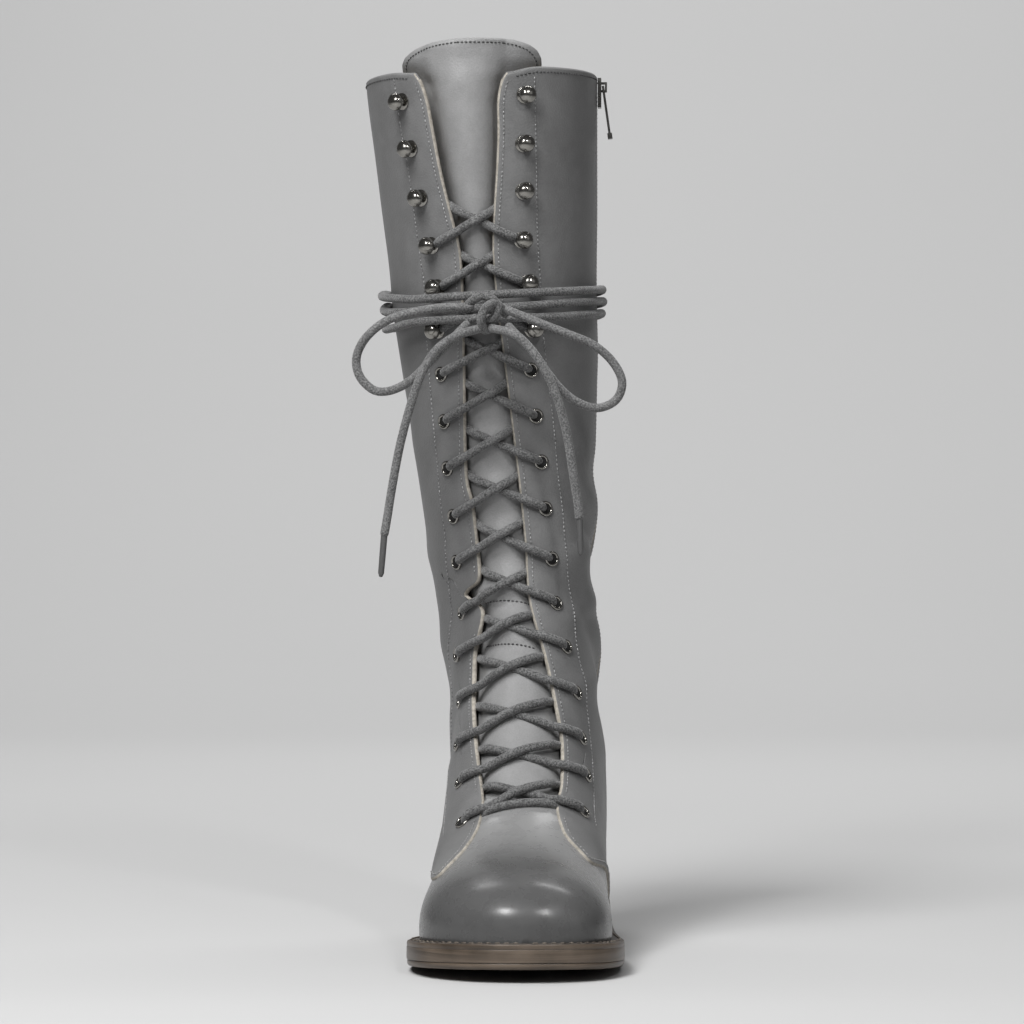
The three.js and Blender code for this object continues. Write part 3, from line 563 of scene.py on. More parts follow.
def sole_level(outer, inner, out, height):
    loop = np.concatenate([outer, inner[::-1]])
    ahead = np.roll(loop, -1, axis=0) - np.roll(loop, 1, axis=0)
    ahead[:, 2] = 0
    normal = unit(np.stack([-ahead[:, 1], ahead[:, 0], ahead[:, 2]], axis=1))
    moved = loop + normal * out
    moved[:, 2] = height(moved[:, 1])
    return moved


def sole_piece(name, outer, inner, levels, finishes, slot, node):
    """A layer of the sole. With two finishes, the second is on its side."""
    pairs = len(outer)
    count = 2 * pairs
    points = np.concatenate([sole_level(outer, inner, out, height) for out, height in levels]) * MM
    faces = []
    for i in range(len(levels) - 1):
        for j in range(count):
            k = (j + 1) % count
            faces.append((i * count + j, i * count + k, (i + 1) * count + k, (i + 1) * count + j))
    which = [len(finishes) - 1] * (count * (len(levels) - 2)) + [0] * count
    top = (len(levels) - 1) * count
    for j in range(pairs - 1):
        p, q, r, s = j, j + 1, count - 2 - j, count - 1 - j
        faces.append((p, s, r, q))
        faces.append((top + p, top + q, top + r, top + s))
        which += [0, 0]
    corners = points[np.array(faces)] - points.mean(axis=0)
    volume = (corners[:, 0] * np.cross(corners[:, 1], corners[:, 2])).sum()
    if volume < 0:
        faces = [face[::-1] for face in faces]
    piece = new_piece(name, points, faces, finishes, slot, which=which)
    bpy.ops.object.select_all(action="DESELECT")
    piece.select_set(True)
    bpy.context.view_layer.objects.active = piece
    bpy.ops.object.shade_smooth_by_angle(angle=math.radians(38))
    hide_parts(node)


def under(depth):
    return lambda y: bed(y) - depth


def level(height):
    return lambda y: 0 * y + height


welt_finish = Finish("welt_leather", (0.03, 0.024, 0.02), 0.6)
grain = welt_finish.place.noise(420, 3)
welt_finish.set("Base Color", grain.step(0.3, 0.75).mix((0.018, 0.015, 0.013, 1), (0.085, 0.07, 0.058, 1)))
welt_finish.bump(grain, 0.0006, 0.7)

edge_finish = Finish("waxed_edge", (0.11, 0.08, 0.058), 0.42)
layers = edge_finish.place.stretched(6, 6, 420).noise(1, 3, 0.6)
blotch = edge_finish.place.noise(45, 3)
edge_tone = layers * 0.55 + blotch * 0.45
edge_finish.set("Base Color", edge_tone.step(0.32, 0.7).mix((0.035, 0.026, 0.019, 1), (0.13, 0.1, 0.075, 1)))
edge_finish.set("Roughness", blotch * 0.2 + 0.3)
edge_finish.bump(layers, 0.00025, 0.5)

side_outer = even_side(feather_outer, 130)
side_inner = even_side(feather_inner, 130)
# Each layer's levels: how far past the welt's edge, and how deep under the footbed.
WELT_LEVELS = [(-0.1, 2.75), (0, 2.6), (0, 1), (-0.3, 0.35), (-1, 0)]
MIDSOLE_LEVELS = [(-0.2, 8.95), (0.1, 8.7), (0.15, 6), (0.05, 3), (-0.05, 2.8)]
OUTSOLE_LEVELS = [(-1.8, 12), (-0.9, 11.8), (-0.2, 10.9), (-0.15, 9.4), (-0.35, 9.1)]
for name, levels, finishes, slot, node in (
    ("stitched_welt", WELT_LEVELS, [welt_finish, edge_finish], "welt", "welt"),
    ("midsole_edge", MIDSOLE_LEVELS, [edge_finish], "sole_edge", "midsole"),
    ("outsole_edge", OUTSOLE_LEVELS, [edge_finish], "sole_edge", "outsole"),
):
    levels = [(WELT_OUT + out, under(depth)) for out, depth in levels]
    sole_piece(name, side_outer, side_inner, levels, finishes, slot, node)

BREAST = -0.09 * LAST_LENGTH


def behind_breast(side):
    fine = even_side(side, 600)
    kept = fine[fine[:, 1] > BREAST]
    kept[0, 1] = BREAST
    return even_side(kept, 60)


heel_outer = behind_breast(feather_outer)
heel_inner = behind_breast(feather_inner)
HEEL_TOP = 12.3
HEEL_FOOT = 6.3
HEEL_LAYERS = 5
heel_levels = []
for layer in range(HEEL_LAYERS):
    for inset, part in ((0.35, 0.0), (0.0, 0.1), (0.0, 0.9), (0.35, 1.0)):
        rise = (layer + part) / HEEL_LAYERS
        out = WELT_OUT - 1.6 - 1.8 * (1 - rise) - inset
        heel_levels.append((out, lambda y, rise=rise: HEEL_FOOT + rise * (bed(y) - HEEL_TOP - HEEL_FOOT)))
sole_piece("heel_layers", heel_outer, heel_inner, heel_levels, [edge_finish], "sole_edge", "heel_stack")
rubber = Finish("heel_rubber", (0.025, 0.023, 0.021), 0.68)
rubber.bump(rubber.place.noise(900, 2), 0.0002, 0.5)
sole_piece("heel_cap", heel_outer, heel_inner, [
    (WELT_OUT - 3.8, level(0)), (WELT_OUT - 3.4, level(0.4)), (WELT_OUT - 3.4, level(5.7)),
    (WELT_OUT - 3.7, level(6)),
], [rubber], "heel_rubber", "heel_lift")


# Stitches: short beads of thread, laid end to end along a seam. One bead is repeated for all of them.
def spun(name, roughness, scale, dark, light):
    finish = Finish(name, dark[:3], roughness)
    finish.set("Base Color", finish.place.noise(scale, 2).step(0.35, 0.65).mix(dark, light))
    return finish


thread = spun("thread", 0.62, 900, shade(0.12), shade(0.29))
dark_thread = spun("dark_thread", 0.7, 900, shade(0.03), shade(0.07))
welt_thread = spun("welt_thread", 0.6, 700, (0.03, 0.025, 0.02, 1), (0.13, 0.11, 0.09, 1))
BEAD = np.array([(-0.5, 0.25), (-0.3, 0.85), (0.0, 1.0), (0.3, 0.85), (0.5, 0.25)])


def stitches(name, seams, finish, slot="leather", pitch=2.1 * MM, radius=0.36 * MM):
    """Seams are pairs of a line and its normals. Each bead takes up most of a pitch."""
    share = 0.76
    points, faces = [], []
    for line, normals in seams:
        gone = distances(line)
        count = max(1, int(gone[-1] / pitch))
        for middle in (np.arange(count) + 0.5) * gone[-1] / count:
            back, at, ahead = read_at(middle + np.array([-0.5, 0, 0.5]) * pitch, gone, line)
            up = unit(read_at(middle, gone, normals))
            run = unit(ahead - back)
            side = np.cross(up, run)
            base = len(points)
            for place, width in BEAD:
                for c, s in ((1, 0), (0.4, 0.9), (-0.4, 0.9), (-1, 0), (0, -0.7)):
                    spot = at + run * place * pitch * share + side * c * radius * width
                    points.append(spot + up * (s * width - 0.6 * (place * 2) ** 4) * radius)
            for i in range(len(BEAD) - 1):
                for j in range(5):
                    k = (j + 1) % 5
                    low, high = base + i * 5, base + (i + 1) * 5
                    faces.append((low + j, low + k, high + k, high + j))
            faces.append(tuple(base + j for j in range(4, -1, -1)))
            faces.append(tuple(base + 20 + j for j in range(5)))
    return new_piece(name, points, faces, [finish], slot)


welt_line = sole_level(side_outer, side_inner, WELT_OUT - 2.2, under(-0.1)) * MM
stitches("welt_stitches", [(welt_line, np.tile([0.0, 0.0, 1.0], (len(welt_line), 1)))], welt_thread, "welt",
         pitch=4.2 * MM, radius=0.6 * MM)


# The quarters: smooth mid-grey leather 2.6 mm thick with a pale lining, raw tan edges and a soft
# sheen. One sheet goes round the heel and up the leg, open at the throat and slit for the zip.
def grey_leather(name, dark, light, roughness, grain=0.6):
    finish = Finish(name, (light, light, light), roughness)
    wide = finish.place.noise(16, 3, 0.55)
    fine = finish.place.noise(120, 4, 0.6)
    pores = finish.place.cells(1150)
    speck = finish.place.noise(1400, 2)
    tone = wide.step(0.25, 0.75) * 0.45 + fine.step(0.3, 0.7) * 0.3 + speck.step(0.3, 0.7) * 0.25
    finish.set("Base Color", tone.mix(shade(dark), shade(light)))
    finish.set("Roughness", fine * 0.16 + (roughness - 0.06))
    finish.bump(pores * 0.4 + fine * 0.65 + wide * 1.5, 0.00035, grain)
    return finish, tone


leather, _ = grey_leather("grey_leather", 0.095, 0.145, 0.42)
toe_leather, toe_tone = grey_leather("polished_toe", 0.11, 0.16, 0.26, 0.15)
# Painted shade: the front of the toe (y below -0.15 m, fully below -0.2 m) is coloured much darker than the
# rest of the vamp.
toe_front_painted_shade = toe_leather.place.axis("Y").step(-0.2, -0.15)
toe_leather.set("Base Color", toe_front_painted_shade.mix(toe_tone.mix(shade(0.055), shade(0.075)),
                                           toe_tone.mix(shade(0.14), shade(0.19))))
toe_leather.bump(toe_leather.place.noise(120, 3), 0.0003, 0.15)
# Painted light: the tongue uses a lighter copy of the quarters' grey leather, standing in for the light that
# falls on it.
tongue_leather_painted_light, _ = grey_leather("tongue_leather_painted_light", 0.155, 0.225, 0.46)

lining = Finish("lining_leather", (0.42, 0.36, 0.28), 0.8)
lining.set("Base Color", lining.place.noise(90, 3).mix((0.36, 0.31, 0.24, 1), (0.48, 0.42, 0.33, 1)))
lining.bump(lining.place.noise(700, 3), 0.0002, 0.5)
raw_edge = Finish("raw_edge", (0.40, 0.34, 0.27), 0.75)
raw_edge.set("Base Color", raw_edge.place.noise(500, 2).step(0.25, 0.75).mix(
    (0.2, 0.185, 0.16, 1), (0.34, 0.315, 0.275, 1)))
raw_edge.bump(raw_edge.place.noise(1500, 2), 0.0002, 0.6)


def leather_sheet(name, points, normals, faces, thickness, finishes, slot):
    """An outer face, a rounded raw edge all round, and an inner face."""
    count = len(points)
    starts = faces.ravel()
    ends = np.roll(faces, -1, axis=1).ravel()
    forward = starts.astype(np.int64) * count + ends
    backward = ends.astype(np.int64) * count + starts
    rim = ~np.isin(forward, backward)
    i, j = starts[rim], ends[rim]
    out = unit(np.cross(points[j] - points[i], normals[i] + normals[j]))
    spread = np.zeros_like(points)
    np.add.at(spread, i, out)
    np.add.at(spread, j, out)
    rim_points = np.unique(np.concatenate([i, j]))
    spread = unit(spread[rim_points])
    slot_of = np.full(count, -1)
    slot_of[rim_points] = np.arange(len(rim_points))
    all_points = [points]
    base = count
    loops = [None]
    for reach, depth in ((0.08, 0.04), (0.3, 0.25), (0.42, 0.6), (0.3, 0.92)):
        edge = points[rim_points] + spread * reach * thickness - normals[rim_points] * depth * thickness
        all_points.append(edge)
        loops.append(base)
        base += len(rim_points)
    all_points.append(points - normals * thickness)
    loops.append(base)

    def at(loop, index):
        if loop == 0:
            return index
        if loop == len(loops) - 1:
            return loops[loop] + index
        return loops[loop] + slot_of[index]

    rim_faces, rim_kind = [], []
    for loop in range(len(loops) - 1):
        rim_faces.append(np.stack([at(loop, j), at(loop, i), at(loop + 1, i), at(loop + 1, j)], axis=1))
        rim_kind.append(np.full(len(i), 0 if loop == 0 else 2))
    inner_faces = faces[:, ::-1] + loops[-1]
    all_faces = np.concatenate([faces, inner_faces, *rim_faces])
    which = np.concatenate([np.zeros(len(faces)), np.ones(len(faces)), *rim_kind])
    return new_piece(name, np.concatenate(all_points), all_faces, finishes, slot, which=which)


def grid_faces(rows, columns):
    i, j = np.meshgrid(np.arange(rows - 1), np.arange(columns - 1), indexing="ij")
    first = (i * columns + j).ravel()
    return np.stack([first, first + 1, first + columns + 1, first + columns], axis=1)


def grid_sheet(name, points, normals, thickness, finishes, slot="leather", is_cut=None):
    """A sheet over rows and columns of points, less the faces that is_cut picks."""
    rows, columns = points.shape[:2]
    points, normals = points.reshape(-1, 3), normals.reshape(-1, 3)
    faces = grid_faces(rows, columns)
    a, b, c = (points[faces[:, k]] for k in range(3))
    if (np.cross(b - a, c - a) * normals[faces[:, 0]]).sum(axis=1).sum() < 0:
        faces = faces[:, ::-1]
    if is_cut:
        faces = faces[~is_cut(faces, points[faces].mean(axis=1))]
    return leather_sheet(name, points, normals, faces, thickness, finishes, slot)


QUARTER_STEP = 1.2
LEATHER = 2.6
COLLAR = 434.0
THROAT_OUTER = [
    (-17.6, 76), (-19, 84), (-22.2, 102.5), (-24, 122), (-23.6, 144), (-21.8, 154), (-20.1, 164.5),
    (-22.6, 169), (-27.6, 171.2), (-29.5, 173.6), (-27.4, 177), (-22.8, 180.5), (-21.9, 186), (-23.2, 199),
    (-25.7, 219), (-28.9, 236), (-29.6, 284), (-30.2, 318), (-31.6, 343), (-36, 362), (-40.7, 381.3),
    (-44.6, 401.4), (-47.5, 417.1), (-50.4, 426.4), (-53.3, 431.1),
]
THROAT_INNER = [
    (18.5, 75.6), (20.6, 83), (20.4, 102.5), (16.8, 122), (11.8, 144), (4.1, 171.5), (2, 199), (0, 219),
    (-1.9, 236), (-7.6, 284), (-12, 320), (-13.9, 348), (-12.1, 381), (-11.2, 401), (-11.3, 417),
    (-9.5, 427), (-7.3, 431),
]
FRONT_OUTER = [(-38.4, 42.4), (-31.4, 48.8), (-24.7, 55.7), (-19.6, 63.8), (-17.8, 72)]
FRONT_INNER = [(40.8, 44.3), (35.2, 48.6), (29.8, 53.8), (23.1, 60.8), (19.7, 68.2), (18.8, 72.9)]
FRONT_SIDE = np.array([(-104.7, 13), (-107.5, 20), (-112, 29), (-117.5, 39)])


def throat_x(side, z):
    table = np.array(THROAT_OUTER if side < 0 else THROAT_INNER)
    return np.interp(z, table[:, 1], table[:, 0])


def collar_z(x):
    return COLLAR + 0.03 * x


FRONT_ROWS, THROAT_ROWS = 46, 250
COLUMNS = 124


def front_edge(side):
    """Turn and height of a quarter's front edge, from the sole up to the collar."""
    front = np.array(FRONT_OUTER if side < 0 else FRONT_INNER)
    turns = np.concatenate([side_turn(side, *FRONT_SIDE.T), front_turn(*front.T)])
    heights = np.concatenate([FRONT_SIDE[:, 1], front[:, 1]])
    lower = smooth_line(np.stack([turns * ROUND, heights], axis=1), 0.4)
    lower = read_at(np.linspace(0, len(lower) - 1, FRONT_ROWS), np.arange(len(lower)), lower)
    line = smooth_line(THROAT_OUTER if side < 0 else THROAT_INNER, 0.5)
    z = np.linspace(line[0, 1], line[-1, 1], THROAT_ROWS)
    x = np.interp(z, line[:, 1], line[:, 0])
    return np.concatenate([lower[:, 0] / ROUND, front_turn(x, z)]), np.concatenate([lower[:, 1], z])


left_a, left_z = front_edge(-1)
right_a, right_z = front_edge(1)
right_a = right_a + 1
rows = FRONT_ROWS + THROAT_ROWS
t = np.linspace(0, 1, rows)[:, None]
s = np.linspace(0, 1, COLUMNS)
s = (s - 0.35 * np.sin(2 * np.pi * s) / (2 * np.pi))[None]
foot_a = left_a[0] + (right_a[0] - left_a[0]) * s[0]


def feather_height(a):
    """Height of the footbed where the form's side at turn a meets it."""
    low, high = np.full(a.shape, 9.0), np.full(a.shape, HEEL_RING + 2.0)
    return form(bisect(lambda u: over_bed(u, a) > 0.6, low, high), a)[..., 2]


foot_z = feather_height(foot_a)
low_rows = np.clip(1 - np.arange(rows) / 10, 0, 1)
left_z = left_z + (foot_z[0] - left_z[0]) * low_rows
right_z = right_z + (foot_z[-1] - right_z[0]) * low_rows
top_a = left_a[-1] + (right_a[-1] - left_a[-1]) * s[0]
top_z = np.full(COLUMNS, COLLAR)
for _ in range(6):
    top_z = collar_z(form(ring_of(top_a, top_z, 20), top_a)[..., 0])
top_z = top_z - (top_z[0] - left_z[-1]) * np.exp(-(s[0] / 0.03) ** 2)
top_z = top_z - (top_z[-1] - right_z[-1]) * np.exp(-((1 - s[0]) / 0.03) ** 2)


def spanned(left, right, low, high):
    edges = (1 - s) * left[:, None] + s * right[:, None] + (1 - t) * low[None] + t * high[None]
    corners = (1 - t) * ((1 - s) * left[0] + s * right[0]) + t * ((1 - s) * left[-1] + s * right[-1])
    return edges - corners


quarter_a = spanned(left_a, right_a, foot_a, top_a)
quarter_z = spanned(left_z, right_z, foot_z, top_z)

# The zip's slot is cut between two columns of the quarters on the inner side.
SLOT_HALF = 2.6
SLOT_LOW, SLOT_HIGH = 99, 430
zip_column = int(np.argmin(np.abs(quarter_a[rows // 2] - 1.0)))
zip_share = s[0, zip_column] + 0.5 * (s[0, 1 + zip_column] - s[0, zip_column])
middle = 0.5 * (quarter_a[:, zip_column] + quarter_a[:, zip_column + 1])
hat = np.where(s < zip_share, ease(s, 0.35, zip_share), ease(-s, -1.0, -zip_share))
zip_rows = (quarter_z[:, zip_column] > 93) * 1.0
zip_rows = np.convolve(np.pad(zip_rows, 12, mode="edge"), np.ones(25) / 25, mode="valid")
quarter_a = quarter_a + (1.0 - middle)[:, None] * hat * zip_rows[:, None]
quarter_u = ring_of(quarter_a, quarter_z, 7)
half = SLOT_HALF / turn_width(quarter_u, quarter_a)[:, zip_column]
gap = 0.5 * (quarter_a[:, zip_column + 1] - quarter_a[:, zip_column])
open_by = (half - gap)[:, None] * zip_rows[:, None]
quarter_a = quarter_a + np.where(s < zip_share, -1, 1) * open_by * hat ** 6
quarter_u = ring_of(quarter_a, quarter_z, 7)


def in_slot(faces, middles):
    between = (faces.min(axis=1) % COLUMNS == zip_column) & (faces.max(axis=1) % COLUMNS == zip_column + 1)
    return between & (middles[:, 2] > SLOT_LOW * MM) & (middles[:, 2] < SLOT_HIGH * MM)


quarters = grid_sheet("quarters", *skin(quarter_u, quarter_a, QUARTER_STEP), LEATHER * MM,
                      [leather, lining, raw_edge], is_cut=in_slot)
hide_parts("upper")
for polygon in quarters.data.polygons:
    on_top = polygon.center.z > (collar_z(0) - 5) * MM and abs(polygon.normal.z) > 0.4
    if polygon.material_index == 2 and (on_top or polygon.center.z < 30 * MM):
        polygon.material_index = 0


# The vamp: one sheet over the toe, from the welt on one side to the other, running in under the
# quarters and ending in a lip in front of the throat.
edge_a = left_a[:FRONT_ROWS]
edge_u = ring_of(edge_a, left_z[:FRONT_ROWS], 7)
right_edge_a = right_a[:FRONT_ROWS] - 1
right_edge_u = ring_of(right_edge_a, right_z[:FRONT_ROWS], 7)
lip = np.array([(-12.8, 76.4), (-6, 77.3), (0, 77.5), (7, 77.3), (13.2, 76.6)])
lip_a = front_turn(lip[:, 0], lip[:, 1])
end_a = np.concatenate([edge_a, lip_a, right_edge_a[::-1]])
end_u = np.concatenate([edge_u + 0.75, ring_of(lip_a, lip[:, 1]), right_edge_u[::-1] + 0.75])
feather_o, feather_i = feather_turns(end_u)
end_share = (feather_o - end_a) / (feather_o - feather_i)
order = np.argsort(end_share)
VAMP_ROWS, VAMP_COLUMNS = 120, 130
column = np.linspace(0, 1, VAMP_COLUMNS)
vamp_end = np.interp(column, end_share[order], end_u[order])
vamp_end = np.convolve(np.pad(vamp_end, 2, mode="edge"), np.ones(5) / 5, mode="valid")
walk = np.linspace(0, 1, 400)
middle_line = form(walk * vamp_end[VAMP_COLUMNS // 2], np.full(400, 0.25))
gone = distances(middle_line)
row_share = np.interp(np.linspace(0, gone[-1], VAMP_ROWS), gone, walk)
vamp_u = row_share[:, None] * vamp_end[None]
feather_o, feather_i = feather_turns(vamp_u)
vamp_a = feather_o + (feather_i - feather_o) * column[None]
vamp_points, vamp_normals = skin(vamp_u, vamp_a, 0.0)
tip_row = vamp_points[:1].copy()
tip_row[..., 1] -= 0.2 * MM
tip_row[..., 2] = bed(-231.0) * MM
vamp_points = np.concatenate([tip_row, vamp_points])
vamp_normals = np.concatenate([np.broadcast_to([0.0, -1.0, 0.0], tip_row.shape), vamp_normals])
grid_sheet("vamp", vamp_points, vamp_normals, 1.4 * MM, [toe_leather, lining, toe_leather])


# The tongue: one soft sheet behind the throat. It stands over the collar and fills out between the
# strands of the lace. Two seams cross it at the ankle.
TONGUE = np.array([
    (53, 1, 22), (63, 1, 26), (77, 1, 27.5), (91, -0.5, 28), (107, -2, 28), (125, -4, 28), (144, -6, 28.5),
    (165, -8, 29), (188, -10, 30), (213, -12.5, 31), (238, -15.3, 32), (263, -17.2, 33), (288, -18.8, 34),
    (315, -20.5, 35), (343, -22.5, 36), (371, -24.5, 36.5), (399, -25.8, 37), (425, -26.4, 37),
    (434, -26.5, 36.6),
])
PUFFS = [295, 272, 249, 226, 203, 180, 159, 135, 112, 91]
top_rows = COLLAR + 13.7 * np.sin(np.linspace(0, np.pi / 2, 22))
tongue_z = np.concatenate([np.linspace(53, COLLAR, 190, endpoint=False), top_rows])
centre = np.interp(tongue_z, TONGUE[:, 0], TONGUE[:, 1])
half_width = np.interp(tongue_z, TONGUE[:, 0], TONGUE[:, 2])
over = np.clip((tongue_z - 429) / 19, 0, 1)
half_width = np.where(tongue_z > 420, 37 + 2.5 * ease(tongue_z, 420, 430), half_width)
half_width = np.where(tongue_z > 429, 37.5 * (1 - over ** 4.6) ** 0.5 + 2, half_width)
centre = centre + 9 * over ** 4
TONGUE_COLUMNS = 34
place = np.linspace(1, -1, TONGUE_COLUMNS)
tongue_x = centre[:, None] + half_width[:, None] * place[None]
sample = np.linspace(0, len(tongue_z) - 1, 60).astype(int)
coarse_a = front_turn(tongue_x[sample], np.repeat(tongue_z[sample][:, None], TONGUE_COLUMNS, axis=1))
tongue_rows = np.arange(len(tongue_z))
tongue_a = read_at(tongue_rows, sample, coarse_a)
tongue_u = ring_of(tongue_a, np.repeat(tongue_z[:, None], TONGUE_COLUMNS, axis=1))
left_edge = throat_x(-1, tongue_z)[:, None]
right_edge = throat_x(1, tongue_z)[:, None]
throat_middle = (left_edge + right_edge) / 2
throat_half = (right_edge - left_edge) / 2
inward = np.clip(1 - ((tongue_x - throat_middle) / throat_half) ** 2, 0, 1)
puff = sum(np.exp(-((tongue_z - z) / 7.5) ** 2) for z in PUFFS)[:, None]
low_part = 1 - ease(tongue_z, 303, 363)[:, None]
swell = (2.4 + 2.2 * puff) * inward ** 0.8 * ease(tongue_z, 71, 93)[:, None] * low_part
top_swell = (8.5 * inward ** 0.8 - 5) * (1 - low_part)
swell = swell + top_swell * (1 - 0.6 * ease(tongue_z, 425, 440)[:, None])
TONGUE_SEAMS = [170, 149]
for seam in TONGUE_SEAMS:
    swell = swell - 0.5 * np.exp(-((tongue_z - seam) / 1.6) ** 2)[:, None] * (inward > 0)
tongue_points, tongue_normals = skin(tongue_u, tongue_a, -3.9 + swell)
lean_back = 7 - 5 * ease(tongue_z, 425, 446)[:, None]
tongue_points[..., 1] += lean_back * np.abs(place[None]) ** 2.4 * (1 - low_part) * MM
finishes = [tongue_leather_painted_light, lining, tongue_leather_painted_light]
tongue = grid_sheet("tongue_sheet", tongue_points, tongue_normals, 2.2 * MM, finishes)
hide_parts("tongue")


# The upper's seams: along the throat, beside the hooks and eyelets, round the collar, at the front of
# the quarters, beside the zip, up the back, and across the tongue.
OVER = QUARTER_STEP + 0.1


def front_seam(points):
    line = smooth_line(points, 2)
    a = front_turn(line[:, 0], line[:, 1])
    return skin(ring_of(a, line[:, 1]), a, OVER)


def turn_seam(a, z):
    return skin(ring_of(a, z, 7), a, OVER)


FACING_OUTER = [
    (-63.2, 430.3), (-59.8, 405.4), (-56.5, 387.2), (-53.1, 362.2), (-49.7, 337.1), (-48.3, 327.2),
    (-46.9, 296.7), (-44.5, 263.5), (-42.1, 236.3), (-40.6, 219), (-38.1, 200.6), (-36.8, 183), (-36.4, 158),
    (-36, 133), (-35.8, 108), (-35.6, 83), (-35.2, 59),
]
FACING_INNER = [
    (5.3, 430.3), (5.8, 405.4), (6.2, 377.4), (6.6, 352.4), (8.1, 328.2), (10, 297.6), (14.4, 257.6),
    (16.4, 234.3), (18.9, 211), (20.4, 188.8), (21.9, 175.9), (23.5, 161.2), (26, 146.1), (28.6, 131.7),
    (31.3, 112.3), (32.9, 97.8), (34, 84.1), (34.7, 70.3), (35.7, 63.2),
]
seams = [front_seam(FACING_OUTER), front_seam(FACING_INNER)]


def seen_at(a, z):
    return form(ring_of(a, z, 7), a)


def inset_seam(side, distance, first, last):
    """A seam at a distance inside a quarter's edge, left out where the notch comes too near."""
    edge_turn = (left_a if side < 0 else right_a)[first:last]
    edge_height = (left_z if side < 0 else right_z)[first:last]
    edge = turn_seam(edge_turn, edge_height)[0]
    turn_way = seen_at(edge_turn + 0.002, edge_height) - seen_at(edge_turn - 0.002, edge_height)
    turn_way = turn_way / 0.004
    height_way = (seen_at(edge_turn, edge_height + 1) - seen_at(edge_turn, edge_height - 1)) / 2
    run = np.gradient(edge_turn)[:, None] * turn_way + np.gradient(edge_height)[:, None] * height_way
    off_turn, off_height = (run * height_way).sum(axis=1), -(run * turn_way).sum(axis=1)
    off = off_turn[:, None] * turn_way + off_height[:, None] * height_way
    share = -side * distance / np.linalg.norm(off, axis=1)
    a = edge_turn + off_turn * share
    z = edge_height + off_height * share
    points, normals = turn_seam(a, z)
    nearest = np.linalg.norm(points[:, None] - edge[None], axis=-1).min(axis=1)
    clear = nearest > 0.85 * distance * MM
    if side < 0:
        clear &= (z < 156) | (z > 184)
    breaks = np.flatnonzero(np.diff(clear.astype(int))) + 1
    parts = zip(np.split(points, breaks), np.split(normals, breaks), np.split(clear, breaks))
    return [(part, way) for part, way, kept in parts if kept[0] and len(part) > 6]


for side in (-1, 1):
    seams += inset_seam(side, 1.9, 6, FRONT_ROWS - 2)
    seams += inset_seam(side, 1.9, FRONT_ROWS + 3, rows - 2)
ring_a = np.linspace(left_a[-1] + 0.01, right_a[-1] - 0.01, 150)
ring_z = np.interp(ring_a, top_a, top_z) - 1.7
collar_seams = [turn_seam(ring_a[part], ring_z[part]) for part in (ring_a < 0.99, ring_a > 1.012)]
stitches("collar_stitches", collar_seams, dark_thread, radius=0.42 * MM)
zip_u = ring_of(np.full(150, 1.0), np.linspace(97, 429, 150), 7)
for distance in (-5.2, -12.5, 5.2, 12.5):
    seams.append(skin(zip_u, 1.0 + distance / turn_width(zip_u, 1.0), OVER - 0.25))
for back_turn in (0.744, 0.756):
    seams.append(turn_seam(np.full(150, back_turn), np.linspace(45, 427, 150)))
stitches("upper_stitches", seams, thread)


def on_tongue(points):
    """A line on the tongue's face, through points seen from the front."""
    line = smooth_line(points, 1.5)
    row = np.interp(line[:, 1], tongue_z, tongue_rows)
    middle_x = np.interp(row, tongue_rows, centre)
    half_x = np.interp(row, tongue_rows, half_width)
    column = np.clip((1 - (line[:, 0] - middle_x) / half_x) / 2, 0, 1) * (TONGUE_COLUMNS - 1)
    i = np.clip(row.astype(int), 0, len(tongue_z) - 2)
    j = np.clip(column.astype(int), 0, TONGUE_COLUMNS - 2)
    p, q = (row - i)[:, None], (column - j)[:, None]
    found = []
    for grid in (tongue_points, tongue_normals):
        near = grid[i, j] * (1 - q) + grid[i, j + 1] * q
        far = grid[i + 1, j] * (1 - q) + grid[i + 1, j + 1] * q
        found.append(near * (1 - p) + far * p)
    return found[0] + found[1] * 0.1 * MM, found[1]


border_top = COLLAR + 12.4 * np.sin(np.linspace(0.06, 1.5, 24))
border_z = np.concatenate([np.linspace(414, COLLAR, 12), border_top])
border_half = np.interp(border_z + 1.2, tongue_z, half_width) - 2.2
border_middle = np.interp(border_z, tongue_z, centre)
border_left = np.stack([border_middle - border_half, border_z], axis=1)
border_right = np.stack([border_middle + border_half, border_z], axis=1)
border = np.concatenate([border_left, border_right[::-1]])
tongue_seams = [on_tongue(border)]
for seam in TONGUE_SEAMS:
    tongue_seams.append(on_tongue([(x, seam + 1.5 - 0.008 * (x + 7) ** 2) for x in range(-21, 8, 4)]))
stitches("tongue_stitches", tongue_seams, dark_thread, radius=0.42 * MM)


# Eyelets: rolled nickel rings set through the quarters, eleven on each side of the throat, with a black disc
# across each bore as painted shade in the hole.
nickel = Finish("nickel", (0.3, 0.29, 0.27), 0.2, 1.0)
nickel.set("Roughness", nickel.place.noise(300, 2) * 0.16 + 0.12)
EYELETS = [
    (-40, 283.6, 3.6, 285.3), (-38.6, 260.1, 6, 262.6), (-37.1, 236.8, 8.5, 239.8),
    (-34.1, 213, 10.5, 216.5), (-31.9, 190.2, 13.4, 191.7), (-30.6, 164.6, 15.5, 169.5),
    (-31.2, 143.7, 20.6, 148.1), (-31.2, 120.8, 25.3, 125.5), (-30.4, 100.6, 28.5, 103.9),
    (-28.2, 83.5, 31.1, 86.4), (-26.2, 65.9, 29.9, 70.3),
]
HOOKS = [
    (-58.8, 418.6, 0.4, 420.8), (-54.5, 395.3, -0.2, 396.8), (-49.6, 370.8, -0.2, 373.5),
    (-44.3, 347.2, -0.8, 349.4), (-41.4, 326.3, 1.7, 328.2), (-41.4, 305.5, 4.1, 305.5),
]


